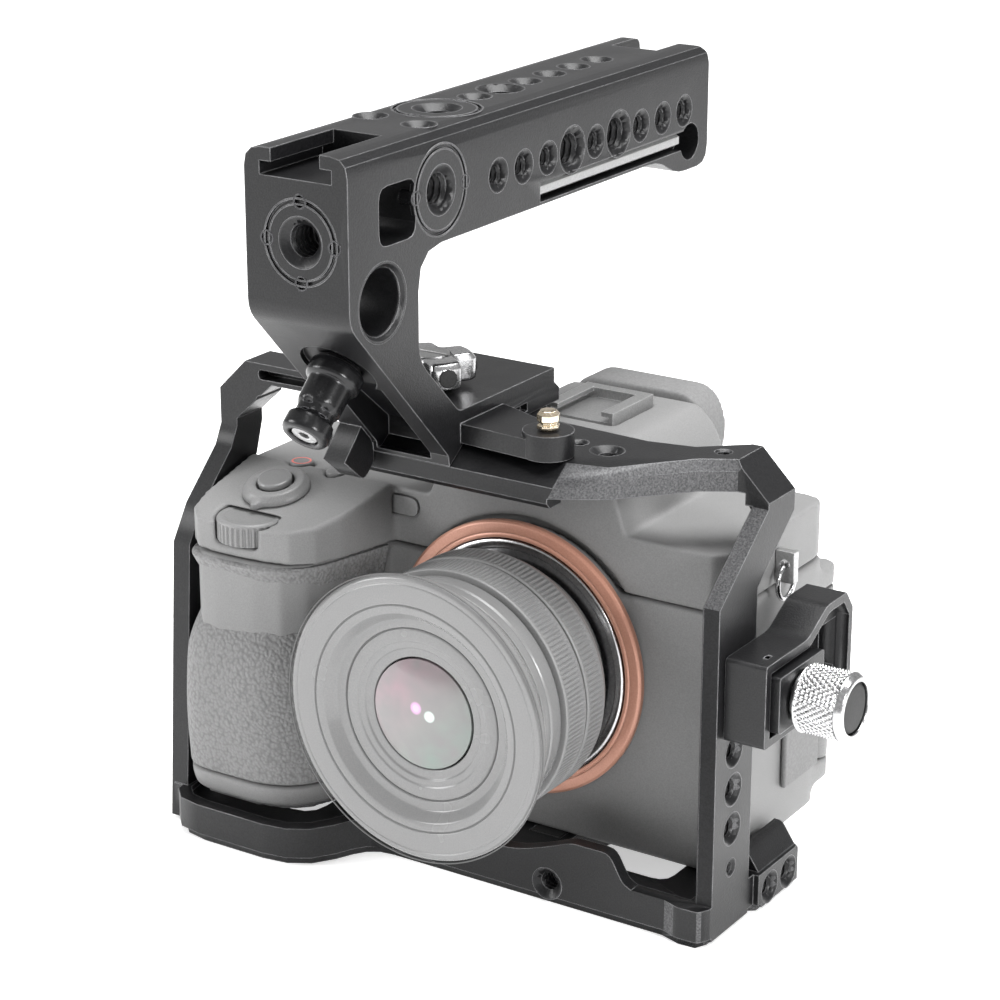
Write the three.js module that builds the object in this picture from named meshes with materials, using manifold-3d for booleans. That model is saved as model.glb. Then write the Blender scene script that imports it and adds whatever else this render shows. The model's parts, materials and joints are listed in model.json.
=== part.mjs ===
// A mirrorless cinema camera in a machined half cage, with a top handle and a cable clamp.
// Millimetres. X runs across the camera, Y from the lens towards the screen, Z up.
// The origin is on the underside of the base plate, below the lens axis, in the sensor plane.
import * as THREE from "three";
import { mergeVertices } from "three/addons/utils/BufferGeometryUtils.js";
import Module from "manifold-3d";

const wasm = await Module();
wasm.setup();

// ---------- Driving dimensions ----------

const fit = 0.3; // gap between pieces that touch
const turnGap = 0.4; // gap round a piece that turns or slides

// Camera body
const bodyLeft = -75.4; // grip end of the body
const bodyRight = 53.5; // port end of the body
const bodyFront = -14;
const bodyBack = 36;
const bodyHeight = 79; // from the camera's own foot to its shoulders
const lensHeight = 44.1; // lens axis above the camera's foot
const humpRise = 17; // viewfinder hump above the shoulders
const humpHalf = 25;
const flangeY = -18; // lens mount flange

// Base plate
const floorThick = 8.5;
const baseFront = -32.3;
const baseBack = 12;
const lobeFront = -51; // front of the round lobe under the grip
const lobeLeft = -82.2;
const lobeRight = -44;
const baseChamfer = 2;
const wallThick = 3.4;
const frontWallTop = 16; // top of the hump in the front wall

// Column, top plate and arch
const columnGap = 1; // room between the camera and the column
const columnThick = 6;
const columnFront = -29.8;
const columnDepth = 17.3;
const leanDrop = 5.9; // the column starts to lean back this far below the shoulders
const leanRise = 16;
const leanBack = 21.5;
const plateRise = 21.1; // from the camera's shoulders to the plate's upper face
const plateThick = 7.2;
const plateFront = -30; // front edge of the plate's upper face
const apronFront = -35.8; // lowest and foremost edge of the plate's sloping front
const apronDrop = 9.8; // depth of that sloping front
const cornerCut = 8.5; // outer chamfer between column and top plate
const bandCut = 2.4; // chamfer along the frame's front edge
const archOuter = -85;
const archThick = 5;
const archRise = 5; // arch above the top plate
const archFront = -19.5;
const archDepth = 10;

// Handle
const handleX = -19.5;
const handleWide = 27;
const handleFront = -73.5;
const handleBack = 80;
const handleHigh = 73.5; // above the top plate
const handleDeep = 25; // depth of the grip bar
const heelDrop = 4.8; // the grip's rear end is this much deeper
const shoeDeep = 6; // accessory shoes cut into the handle's ends
const foldRise = 37; // fold of the front leg above the top plate
const legBack = -48;
const legSlope = 45; // degrees
const legThick = 9.8; // square to the slope
const edgeRound = 4.5;
const rodRadius = 7.6;
const rodY = -61.5;
const rodRise = 40; // rod hole above the top plate
const footHigh = 8;
const footBack = 8;
const footRight = -4.6;
const ribDeep = 9.6;
const ribWide = 6;

// Rail under the foot
const railWide = 15;
const railHigh = 3.6;

// Cable clamp
const clampOut = 10.6;
const clampFront = -27.3;
const clampLow = 50.3;
const clampShoulder = 70.2;
const clampTop = 75.3;
const clampBack = 14.6;
const jawThick = 3.2;
const knobRadius = 8.1;
const knobLong = 13.6;
const knobY = -14.6;
const knobZ = 59.6;

// Lens
const lensRadius = 34;
const lensFront = -60.7;
const glassRadius = 12.7;

// Threaded holes: half the drill size and the countersink
const quarter = { r: 2.55, sink: 3.9 };
const threeEighths = { r: 4.1, sink: 5.6 };
const small = { r: 1.5, sink: 2.1 };

// ---------- Values that follow from them ----------

const cameraFoot = floorThick + 0.4;
const lensZ = cameraFoot + lensHeight;
const shoulderZ = cameraFoot + bodyHeight;
const humpZ = shoulderZ + humpRise;
const plateTop = shoulderZ + plateRise;
const leanLow = shoulderZ - leanDrop;
const leanHigh = leanLow + leanRise;
const apronLow = plateTop - apronDrop;
const archTop = plateTop + archRise;
const handleTop = plateTop + handleHigh;
const foldZ = plateTop + foldRise;
const rodZ = plateTop + rodRise;
const footTop = plateTop + footHigh;
const columnInner = bodyRight + columnGap;
const columnOuter = columnInner + columnThick;
const handleLeft = handleX - handleWide / 2;
const handleRight = handleX + handleWide / 2;
const underZ = handleTop - handleDeep;
const footLow = plateTop + fit;

// ---------- Solids ----------

function toSolid(geometry) {
  const bare = geometry.index ? geometry.toNonIndexed() : geometry.clone();
  bare.deleteAttribute("normal");
  bare.deleteAttribute("uv");
  const merged = mergeVertices(bare, 1e-4);
  const index = merged.index.array;
  const kept = [];
  for (let i = 0; i < index.length; i += 3) {
    const [a, b, c] = [index[i], index[i + 1], index[i + 2]];
    if (a !== b && b !== c && c !== a) kept.push(a, b, c);
  }
  return new wasm.Manifold(
    new wasm.Mesh({
      numProp: 3,
      vertProperties: merged.attributes.position.array,
      triVerts: new Uint32Array(kept),
    }),
  );
}

function toGeometry(solid) {
  const mesh = solid.getMesh();
  const positions = new Float32Array(mesh.numVert * 3);
  for (let i = 0; i < mesh.numVert; i++) {
    for (let k = 0; k < 3; k++) {
      positions[3 * i + k] = mesh.vertProperties[mesh.numProp * i + k];
    }
  }
  const geometry = new THREE.BufferGeometry();
  geometry.setAttribute("position", new THREE.BufferAttribute(positions, 3));
  geometry.setIndex(new THREE.BufferAttribute(new Uint32Array(mesh.triVerts), 1));
  geometry.computeVertexNormals();
  return geometry;
}

function join(...solids) {
  return solids.reduce((all, next) => all.add(next));
}

function cut(solid, ...tools) {
  return tools.reduce((left, tool) => left.subtract(tool), solid);
}

function block(x, y, z) {
  const box = new THREE.BoxGeometry(x[1] - x[0], y[1] - y[0], z[1] - z[0]);
  box.translate((x[0] + x[1]) / 2, (y[0] + y[1]) / 2, (z[0] + z[1]) / 2);
  return toSolid(box);
}

// A closed outline; a corner given as [a, b, r] is rounded by about r.
function outline(corners) {
  const shape = new THREE.Shape();
  const count = corners.length;
  corners.forEach(([a, b, r = 0], i) => {
    const here = new THREE.Vector2(a, b);
    if (!r) {
      if (i) shape.lineTo(a, b);
      else shape.moveTo(a, b);
      return;
    }
    const before = new THREE.Vector2(...corners[(i + count - 1) % count]);
    const after = new THREE.Vector2(...corners[(i + 1) % count]);
    const reachIn = Math.min(r, here.distanceTo(before) * 0.49);
    const reachOut = Math.min(r, here.distanceTo(after) * 0.49);
    const start = here.clone().add(before.sub(here).setLength(reachIn));
    const end = here.clone().add(after.sub(here).setLength(reachOut));
    if (i) shape.lineTo(start.x, start.y);
    else shape.moveTo(start.x, start.y);
    shape.quadraticCurveTo(a, b, end.x, end.y);
  });
  shape.closePath();
  return shape;
}

// Prisms: an outline in the plane square to the named axis, carried along that axis.
function prism(axis, corners, low, high, curve = 3) {
  const shape = corners.isShape ? corners : outline(corners);
  const solid = new THREE.ExtrudeGeometry(shape, {
    depth: high - low,
    bevelEnabled: false,
    curveSegments: curve,
  });
  const x = new THREE.Vector3(1, 0, 0);
  const y = new THREE.Vector3(0, 1, 0);
  const z = new THREE.Vector3(0, 0, 1);
  const turn = new THREE.Matrix4();
  if (axis === "x") turn.makeBasis(y, z, x).setPosition(low, 0, 0);
  if (axis === "y") turn.makeBasis(x, z, y.clone().negate()).setPosition(0, high, 0);
  if (axis === "z") turn.makeBasis(x, y, z).setPosition(0, 0, low);
  solid.applyMatrix4(turn);
  return toSolid(solid);
}

const directions = {
  x: [0, 0, -Math.PI / 2],
  y: [0, 0, 0],
  z: [Math.PI / 2, 0, 0],
};

// A solid of revolution from [radius, height] pairs, its axis turned to x, y or z.
function turned(axis, profile, centre, sides = 16) {
  const points = profile.map(([r, h]) => new THREE.Vector2(Math.max(r, 0), h));
  if (THREE.ShapeUtils.area(points) < 0) points.reverse();
  const lathe = new THREE.LatheGeometry(points, sides);
  const turn = new THREE.Euler(...directions[axis]);
  lathe.applyMatrix4(new THREE.Matrix4().makeRotationFromEuler(turn));
  lathe.translate(...centre);
  return toSolid(lathe);
}

function rod(axis, radius, from, to, centre, sides = 14) {
  const profile = [[0, from], [radius, from], [radius, to], [0, to]];
  return turned(axis, profile, centre, sides);
}

// A ring turned about an axis: inner and outer radius between two heights.
function ring(axis, inner, outer, from, to, centre, sides = 32) {
  const profile = [[inner, from], [outer, from], [outer, to], [inner, to], [inner, from]];
  return turned(axis, profile, centre, sides);
}

// The cutter for a countersunk threaded hole: centre on the face, way out is +1 or -1.
function drill(axis, size, centre, wayOut, depth, sides = 12) {
  const sinkDeep = (size.sink - size.r) * 0.8;
  const profile = [
    [0, 1],
    [size.sink, 1],
    [size.sink, 0],
    [size.r, -sinkDeep],
    [size.r, -depth],
    [0, -depth],
  ];
  const scaled = profile.map(([r, h]) => [r, h * wayOut]);
  return turned(axis, scaled, centre, sides);
}

// A solid between outlines of equal length stacked at rising heights.
function loft(layers) {
  const count = layers[0].points.length;
  const positions = [];
  const index = [];
  for (const layer of layers) {
    for (const [x, y] of layer.points) positions.push(x, y, layer.z);
  }
  for (let k = 0; k + 1 < layers.length; k++) {
    for (let i = 0; i < count; i++) {
      const j = (i + 1) % count;
      const [a, b, c, d] = [k * count + i, k * count + j, (k + 1) * count + j, (k + 1) * count + i];
      index.push(a, b, c, a, c, d);
    }
  }
  const flat = (points) => points.map(([x, y]) => new THREE.Vector2(x, y));
  const low = THREE.ShapeUtils.triangulateShape(flat(layers[0].points), []);
  for (const [a, b, c] of low) index.push(a, c, b);
  const top = (layers.length - 1) * count;
  const high = THREE.ShapeUtils.triangulateShape(flat(layers.at(-1).points), []);
  for (const [a, b, c] of high) index.push(top + a, top + b, top + c);
  const geometry = new THREE.BufferGeometry();
  geometry.setAttribute("position", new THREE.Float32BufferAttribute(positions, 3));
  geometry.setIndex(index);
  return toSolid(geometry);
}

// ---------- Materials and assembly ----------

function material(hex, roughness, metalness) {
  return { hex, roughness, metalness };
}

const anodised = material(0x3b3b3d, 0.5, 0.7);
const blackSteel = material(0x1f1f20, 0.4, 0.8);
const bright = material(0xc9c9c9, 0.28, 1);
const brass = material(0xd9bd94, 0.3, 1);
const rubber = material(0x242424, 0.9, 0);
const bodyGrey = material(0x949494, 0.6, 0.1);
const gripGrey = material(0x8d8d8d, 0.85, 0);
const keyGrey = material(0x9d9d9d, 0.5, 0.1);
const orange = material(0xc29284, 0.45, 0.4);
const glass = material(0x8f8f90, 0.1, 0);

const rig = new THREE.Group();

function place(name, solid, look, parent = rig) {
  const mesh = new THREE.Mesh(
    toGeometry(solid),
    new THREE.MeshStandardMaterial({
      color: look.hex,
      roughness: look.roughness,
      metalness: look.metalness,
    }),
  );
  mesh.name = name;
  parent.add(mesh);
  return mesh;
}

// ---------- Half cage ----------

const wingBack = 9.5;
const wingOut = 62;
const rimTop = floorThick + 1.3;
const toeTop = 9;
const columnBack = columnFront + columnDepth;
const leanFront = columnFront + leanBack;
const leanRear = leanFront + 12.5;
const plateLow = plateTop - plateThick;
const plateBack = -6.8;
const prowX = 21;
const holeRows = [16.5, 26.2, 36, 45.5]; // heights of the column's threaded holes
const bossX = 15;
const bossY = -28.1;
const bossRadius = 5.9;
const tripodX = -8;
const tripodY = -6;

function baseOutline(inset) {
  return [
    [lobeLeft + inset, baseBack - inset, 3],
    [lobeLeft + inset, lobeFront + inset, 11],
    [lobeRight + 3.4 - inset * 0.5, lobeFront + inset, 11],
    [lobeRight + 12 - inset * 0.5, baseFront + inset, 6],
    [columnOuter - 11 - inset, baseFront + inset],
    [columnOuter - 7, baseFront - 1.6 + inset, inset ? 0 : 1],
    [columnOuter - 1.5 - inset, baseFront - 1.4 + inset, inset ? 0 : 1],
    [columnOuter - inset, baseFront + 1.6 + inset],
    [columnOuter - inset, -10],
    [wingOut - inset, -10 + inset],
    [wingOut - inset, wingBack - inset, 1.5],
    [wingOut - 12, baseBack - inset],
  ];
}

function frontWall() {
  const left = lobeRight + 14;
  const right = columnOuter - 10.8;
  const hump = [
    [left, 2],
    [right, 2],
    [right, toeTop - 2],
    [right - 2.4, toeTop, 2],
    [right - 9, toeTop + 0.6, 2],
    [right - 11.4, toeTop + 2, 1],
    [right - 15, frontWallTop + 1.4, 2],
    [right - 25.5, frontWallTop + 1.4, 2],
    [right - 32, frontWallTop - 1.4, 4],
    [right - 41, frontWallTop - 4.4, 4],
    [left, frontWallTop - 5],
  ];
  return prism("y", hump, baseFront, baseFront + wallThick);
}

function columnSolid() {
  const side = [
    [columnFront, 1],
    [columnBack, 1],
    [columnBack, leanLow],
    [leanRear, leanHigh - 2.5],
    [leanRear, plateTop],
    [leanFront, plateTop],
    [leanFront, leanHigh + 1],
    [columnFront, leanLow],
  ];
  const bare = prism("x", side, columnInner, columnOuter);
  const front = 2 * bandCut;
  const bevels = [
    [columnFront, 1, columnFront, leanLow],
    [columnFront, leanLow, leanFront, leanHigh + 1],
  ].map(([y0, z0, y1, z1]) => {
    const strip = [
      [columnInner - 1, 0],
      [columnInner + bandCut * 0.8, 0],
      [columnInner - 1, front],
    ];
    const long = Math.hypot(y1 - y0, z1 - z0) + 1;
    const wedge = toGeometry(prism("z", strip, 0, long));
    const tilt = Math.atan2(y1 - y0, z1 - z0);
    wedge.rotateX(-tilt);
    wedge.translate(0, y0, z0);
    return toSolid(wedge);
  });
  return cut(bare, ...bevels);
}

function topPlate() {
  const top = [
    [handleLeft - 2, footBack],
    [handleLeft - 2, plateFront],
    [prowX, plateFront],
    [prowX + 10, plateFront + 1.2],
    [columnInner - 9.5, leanFront - 4.5],
    [columnInner - 2, leanFront],
    [columnInner + 0.2, leanFront],
    [columnInner + 0.2, leanRear],
    [columnInner - 5, leanRear],
    [columnInner - 15, plateBack + 2.3],
    [columnInner - 26, plateBack],
    [footRight + 8, plateBack + 1.4],
    [footRight - 0.5, footBack - 5],
    [footRight - 4, footBack],
  ];
  const forward = { 1: apronFront, 2: apronFront };
  const under = top.map(([x, y], i) => [i === 2 ? x - 1.5 : x, forward[i] ?? y]);
  const mid = top.map(([x, y], i) => [x, forward[i] ?? y]);
  const face = top.map(([x, y], i) => {
    if (i === 3) return [x - 0.4, y + bandCut * 0.5];
    if (i === 4 || i === 5) return [x - bandCut * 0.4, y + bandCut * 0.5];
    return [x, y];
  });
  return loft([
    { z: plateLow, points: under },
    { z: plateTop - 4.4, points: mid },
    { z: plateTop - bandCut, points: top.map(([x, y], i) => {
      if (!(i in forward)) return [x, y];
      return [x, plateFront + (apronFront - plateFront) * (bandCut / 4.4)];
    }) },
    { z: plateTop, points: face },
  ]);
}

// The apron hangs below the plate's front edge, ahead of the viewfinder hump.
function apron() {
  const section = [
    [apronFront, plateTop - 4.6],
    [apronFront, apronLow + 1.4],
    [apronFront + 1.4, apronLow],
    [apronFront + 6, apronLow],
    [apronFront + 6, plateTop - 3],
  ];
  return prism("x", section, handleLeft - 2, prowX - 1.5);
}

function archSolid() {
  const back = archFront + archDepth;
  const leg = [
    [-44.2, 1],
    [-44.2 + archDepth, 1],
    [-38 + archDepth, 66],
    [-22 + archDepth, 88],
    [back, 96],
    [back, archTop],
    [archFront, archTop],
    [archFront, 97],
    [-22, 92],
    [-34, 80.5],
    [-39.4, 72],
  ];
  const side = prism("x", leg, archOuter, archOuter + archThick);
  const foot = block([archOuter + 1, lobeLeft + 6], [-44, -34.5], [1, rimTop]);
  const arm = block([archOuter + 1, handleLeft - 1], [archFront, back], [archTop - 5, archTop]);
  const brace = prism("y", [
    [archOuter + 3, archTop - 17],
    [archOuter + archThick + 12, archTop - 4],
    [archOuter + 3, archTop - 4],
  ], archFront, back);
  const slot = prism("y", [
    [archOuter + 12, archTop - 4, 1],
    [handleLeft - 14, archTop - 3.6, 1],
    [handleLeft - 14, archTop - 1.6, 1],
    [archOuter + 12, archTop - 1.6, 1],
  ], archFront - 1, archFront + 4);
  const corner = bevelCorner("y", [archOuter, archTop], 8, archFront - 1, back + 1, [-1, 1]);
  const hole = rod("y", 1.4, archFront - 1, back + 1, [archOuter + 12.5, 0, archTop - 9.5], 12);
  const step = block([handleLeft - 8, handleLeft - 1], [archFront, back], [plateLow, archTop]);
  return cut(join(side, foot, arm, brace, step), corner, slot, hole);
}

// A cutter that takes a 45 degree corner off an edge that runs along an axis.
function bevelCorner(axis, [a, b], size, low, high, [sideA, sideB]) {
  const over = 2;
  const reach = size + over;
  const corners = [
    [a + sideA * over, b + sideB * over],
    [a - sideA * reach, b + sideB * over],
    [a + sideA * over, b - sideB * reach],
  ];
  return prism(axis, corners, low, high);
}

const padPlaces = [
  [-32, -8, 14, 22],
  [7.2, -6, 8, 20],
];
const padSunk = 1;
const clampScrewHeights = [clampLow + 4, clampLow + 16.5];
const clampScrewY = columnFront + 8;

function cageFrame() {
  const slab = prism("z", baseOutline(0), baseChamfer, rimTop);
  const foot = prism("z", baseOutline(baseChamfer * 0.6), 0, baseChamfer);
  const wing = prism("y", [
    [columnInner + 1, 1],
    [wingOut, 1],
    [wingOut, toeTop + 0.4, 0.6],
    [wingOut - 1, toeTop + 0.8, 0.4],
    [wingOut - 4.5, toeTop + 6, 1],
    [columnInner + 1, toeTop + 6],
  ], -8.5, wingBack);
  const toe = block([columnOuter - 11, columnOuter - 1], [baseFront + 0.5, columnBack], [1, toeTop]);
  let frame = join(slab, foot, frontWall(), columnSolid(), topPlate(), apron(), archSolid(), wing, toe);
  const floor = prism("z", [
    [bodyLeft - 4.4, baseBack + 5, 2],
    [bodyLeft - 4.4, lobeFront + wallThick, 9],
    [lobeRight + 1.2, lobeFront + wallThick, 9],
    [lobeRight + 9.5, baseFront + wallThick, 4],
    [columnInner, baseFront + wallThick],
    [columnInner, baseBack + 5],
  ], floorThick, toeTop + 3);
  const lightening = [
    prism("z", [[14, -22, 4], [44, -22, 4], [44, 4, 4], [14, 4, 4]], -1, floorThick + 1),
    prism("z", [[-72, -38, 6], [-46, -38, 6], [-46, 2, 6], [-72, 2, 6]], -1, floorThick + 1),
  ];
  const columnCorner = bevelCorner(
    "y", [columnOuter, plateTop], cornerCut, leanFront - 2, leanRear + 2, [1, 1],
  );
  const columnHoles = holeRows.map((z, i) =>
    drill("x", i ? quarter : small, [columnOuter, columnFront + 8.4, z], 1, 9));
  const topHoles = [
    drill("z", quarter, [prowX + 3.2, -17.8, plateTop], 1, 12),
    drill("z", small, [prowX - 5.2, -16.2, plateTop], 1, 12),
    drill("z", small, [columnInner - 8, -4.2, plateTop], 1, 12),
  ];
  const wallHole = drill("y", quarter, [18, baseFront, 5.2], -1, 7);
  const wingHoles = [-4.6, 4.6].map((y) => drill("x", quarter, [wingOut, y, 4.8], 1, 6));
  const tripodHole = join(
    rod("z", 8.4, -1, 3.2, [tripodX, tripodY, 0], 24),
    rod("z", 3.5, 0, floorThick + 1, [tripodX, tripodY, 0]),
  );
  const humpRoom = block(
    [-humpHalf - 12, humpHalf + 4], [bodyFront - 2, footBack + 5], [plateLow - 5, humpZ + 0.5],
  );
  const screwHoles = clampScrewHeights.map((z) =>
    rod("x", 1.9, columnInner - 1, columnOuter + 1, [0, clampScrewY, z], 10));
  const pads = padPlaces.map(([x, y, long, wide]) =>
    block([x - long / 2 - fit, x + long / 2 + fit], [y - wide / 2 - fit, y + wide / 2 + fit],
      [floorThick - padSunk - fit, floorThick + 1]));
  frame = cut(frame, floor, ...lightening, columnCorner, ...columnHoles, ...topHoles, wallHole,
    ...wingHoles, tripodHole, humpRoom, ...pads, ...screwHoles);
  return frame;
}

place("cage_frame", cageFrame(), anodised);

padPlaces.forEach(([x, y, long, wide], i) => {
  const pad = block([x - long / 2, x + long / 2], [y - wide / 2, y + wide / 2],
    [floorThick - padSunk, floorThick + 0.1]);
  place(i ? "foot_pad_right" : "foot_pad_left", pad, rubber);
});

function tripodScrew() {
  const profile = [
    [0, 0.6],
    [7, 0.6],
    [7.8, 1.4],
    [7.8, 2.9],
    [3.1, 2.9],
    [3.1, cameraFoot + 4],
    [2.6, cameraFoot + 4.6],
    [0, cameraFoot + 4.6],
  ];
  const slot = block([tripodX - 9, tripodX + 9], [tripodY - 0.7, tripodY + 0.7], [0, 2]);
  return cut(turned("z", profile, [tripodX, tripodY, 0], 24), slot);
}

place("tripod_screw", tripodScrew(), bright);

// ---------- Rail and handle ----------

const railX = handleX - 2.5;
const railFront = plateFront + 3;
const railBack = footBack - 1;

function railSolid() {
  const half = railWide / 2;
  const section = [
    [railX - half + 2, plateTop + fit],
    [railX + half - 2, plateTop + fit],
    [railX + half - 2, plateTop + 1.4],
    [railX + half, plateTop + 2.6],
    [railX + half, plateTop + railHigh],
    [railX - half, plateTop + railHigh],
    [railX - half, plateTop + 2.6],
    [railX - half + 2, plateTop + 1.4],
  ];
  const seat = drill("z", { r: 1.7, sink: 3.3 }, [railX, railBack - 5, plateTop + railHigh], 1, 6);
  const front = drill("z", { r: 1.7, sink: 3.3 }, [railX, railFront + 5, plateTop + railHigh], 1, 6);
  return cut(prism("y", section, railFront, railBack), seat, front);
}

place("rail", railSolid(), anodised);

[["rail_screw_front", railFront + 5], ["rail_screw_back", railBack - 5]].forEach(([name, y]) => {
  const top = plateTop + railHigh - 0.4;
  const low = plateTop + fit;
  const profile = [[0, top], [2.2, top], [2.2, top - 0.3], [1.4, top - 0.95], [1.4, low], [0, low]];
  const socket = rod("z", 0.9, top - 1, top + 1, [railX, y, 0], 6);
  place(name, cut(turned("z", profile, [railX, y, 0], 16), socket), blackSteel);
});

const legRun = (z) => handleFront + (foldZ - z) / 1.05; // Y of the leg's front face at a height
const seatZ = plateTop + 23.6; // top of the front leg's sloping rear face
const legRear = legBack + (seatZ - footTop);
const starX = railX;
const starY = -20;
const starAngle = -34; // degrees
const starRadius = 10.5;
const starHigh = 8;
const pinRadius = 1.6;
const knobAxisTilt = 42; // degrees from level, pointing forward and down
const screwSeat = new THREE.Vector3(handleX, -58.6, plateTop + 23.3);

function handleSide() {
  const toeY = apronFront - 0.6;
  const toeZ = plateTop - 4.4 + 0.3;
  return [
    [handleFront, handleTop],
    [handleFront, foldZ, 3],
    [legRun(toeZ + 2.6), toeZ + 2.6],
    [toeY, toeZ],
    [plateFront - 0.1, footLow],
    [footBack, footLow],
    [footBack, footTop],
    [legRear, footTop, 1.5],
    [legBack, seatZ, 4],
    [legBack, underZ, 9],
    [56, underZ, 5],
    [64, underZ - heelDrop, 5],
    [handleBack, underZ - heelDrop, 5],
    [handleBack, handleTop, 3],
  ];
}

function shoeCut(from, to) {
  const [half, lip] = [9.4, 6.4];
  return prism("y", [
    [handleX - half, handleTop - shoeDeep],
    [handleX + half, handleTop - shoeDeep],
    [handleX + half, handleTop - 3],
    [handleX + lip, handleTop - 3],
    [handleX + lip, handleTop + 1],
    [handleX - lip, handleTop + 1],
    [handleX - lip, handleTop - 3],
    [handleX - half, handleTop - 3],
  ], from, to);
}

// Face groove with locating pin holes round a threaded hole.
function locator(axis, centre, radius, out, angles) {
  const k = { x: 0, y: 1, z: 2 }[axis];
  const groove = ring(axis, radius - 0.6, radius + 0.6, -0.9 * out, out, centre, 24);
  const pins = angles.map((degrees) => {
    const a = THREE.MathUtils.degToRad(degrees);
    const at = [...centre];
    at[(k + 1) % 3] += radius * Math.cos(a);
    at[(k + 2) % 3] += radius * Math.sin(a);
    return rod(axis, 1.5, -4 * out, out, at, 8);
  });
  return join(groove, ...pins);
}

const sideHoleY = Array.from({ length: 9 }, (_, i) => -16.2 + 10.5 * i);
const sideHoleZ = plateTop + 59;
const topHoleY = Array.from({ length: 6 }, (_, i) => -5.4 + 10.7 * i);
const keyRadius = 1.8; // across corners
const keyZ = underZ + 3.2;
const keyFront = 2;
const keyBack = 70;

function handleBody() {
  const width = prism("y", [
    [handleLeft, 90],
    [handleRight, 90],
    [handleRight, handleTop, edgeRound],
    [handleLeft, handleTop, edgeRound],
  ], handleFront - 1, handleBack + 1);
  let body = prism("x", handleSide(), handleLeft, handleRight).intersect(width);
  const flank = prism("y", [
    [handleRight - 8, footLow],
    [footRight, footLow],
    [footRight, footTop - 4.6],
    [footRight - 5.8, footTop],
    [handleRight - 8, footTop],
  ], legRear + 6, footBack);
  const arm = prism("z", [
    [handleRight - 6, -31.5],
    [bossX, bossY - bossRadius + 0.4],
    [bossX, bossY + bossRadius - 0.4],
    [footRight - 1, -14, 3],
    [handleRight - 6, -14],
  ], footLow, footLow + 4.6);
  const boss = rod("z", bossRadius, footLow, footLow + 5.9, [bossX, bossY, 0], 28);
  const slantBack = prism("x", [
    [legRun(plateTop + 3), plateTop + 3],
    [legRun(plateTop + 3) - ribDeep * 0.69, plateTop + 3 - ribDeep * 0.72],
    [-40.3, plateTop - 10.3, 2],
    [apronFront - 0.5, plateTop - 6.7, 1],
    [apronFront - 0.5, plateTop - 3],
    [-44, plateTop + 11],
  ], handleLeft, handleLeft + ribWide);
  body = join(body, flank, arm, boss, slantBack);
  const webIn = 5;
  const dish = prism("x", [
    [-58, plateTop + 15],
    [-41, plateTop - 3],
    [-32, plateTop - 3],
    [-32, plateTop + 3.6],
    [-53, plateTop + 21],
  ], handleLeft + ribWide + 1.2, handleRight - webIn);
  const long = handleWide + 2;
  const rodHole = join(
    drill("x", { r: rodRadius, sink: rodRadius + 1.1 }, [handleRight, rodY, rodZ], 1, long, 24),
    drill("x", { r: rodRadius, sink: rodRadius + 1.1 }, [handleLeft, rodY, rodZ], -1, 4, 24),
  );
  const front = [handleX + 1, handleFront, plateTop + 54];
  const side = [handleRight, -39.1, plateTop + 60.2];
  const ringTop = [handleX, -20.6, handleTop];
  const cuts = [
    rodHole,
    dish,
    shoeCut(handleFront - 1, -51),
    shoeCut(66, handleBack + 1),
    drill("y", threeEighths, front, -1, 10, 16),
    locator("y", front, 8.9, -1, [0, 90, 180, 270]),
    drill("x", threeEighths, side, 1, 10, 16),
    locator("x", side, 9.6, 1, [0, 180]),
    drill("z", threeEighths, ringTop, 1, 9, 16),
    locator("z", ringTop, 9.6, 1, [90, 270]),
    ...sideHoleY.map((y, i) =>
      drill("x", i === 3 || i === 5 ? threeEighths : quarter, [handleRight, y, sideHoleZ], 1, 8)),
    ...topHoleY.map((y, i) =>
      drill("z", i === 1 ? threeEighths : quarter, [handleX, y, handleTop], 1, 8)),
    drill("z", quarter, [handleX - 7.6, -35.5, handleTop], 1, 8),
    drill("z", quarter, [handleX + 6.4, -37, handleTop], 1, 8),
    prism("x", [
      [-62.4, plateTop + 52, 3],
      [-48.8, plateTop + 52, 3],
      [-48.8, plateTop + 65, 3],
      [-62.4, plateTop + 65, 3],
    ], handleLeft - 1, handleRight + 1),
    block([handleRight - 5.4, handleRight + 1], [keyFront - 0.6, keyBack], [underZ + 0.7, keyZ + 2.1]),
    rod("x", 4.6, -6.5, 1, [handleRight, keyBack + 1, keyZ - 1], 20),
    prism("y", [
      [railX - railWide / 2 - turnGap, footLow - 1],
      [railX + railWide / 2 + turnGap, footLow - 1],
      [railX + railWide / 2 + turnGap, plateTop + railHigh + turnGap],
      [railX - railWide / 2 - turnGap, plateTop + railHigh + turnGap],
    ], railFront - 0.5, footBack + 1),
    prism("y", [
      [footRight - 2, footLow + 0.9],
      [footRight + 1, footLow + 0.9],
      [footRight + 1, footLow + 2.9],
      [footRight - 2, footLow + 2.9],
    ], -19, -6),
    rod("z", 2.1, footLow - 1, footTop + 1, [starX, starY, 0], 16),
    rod("z", pinRadius + fit, footLow - 1, footLow + 8, [bossX, bossY, 0], 16),
    rod("x", 2.2, -1, 3, [handleLeft, handleFront + 6, handleTop - 8], 12),
  ];
  const stud = toGeometry(join(
    rod("y", 2.4, -20, 26, [0, 0, 0], 16),
    rod("y", 9.2, -12, 0, [0, 0, 0], 28),
  ));
  stud.rotateX(THREE.MathUtils.degToRad(knobAxisTilt));
  stud.translate(screwSeat.x, screwSeat.y, screwSeat.z);
  return cut(body, ...cuts, toSolid(stud));
}

place("handle_body", handleBody(), anodised);

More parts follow.
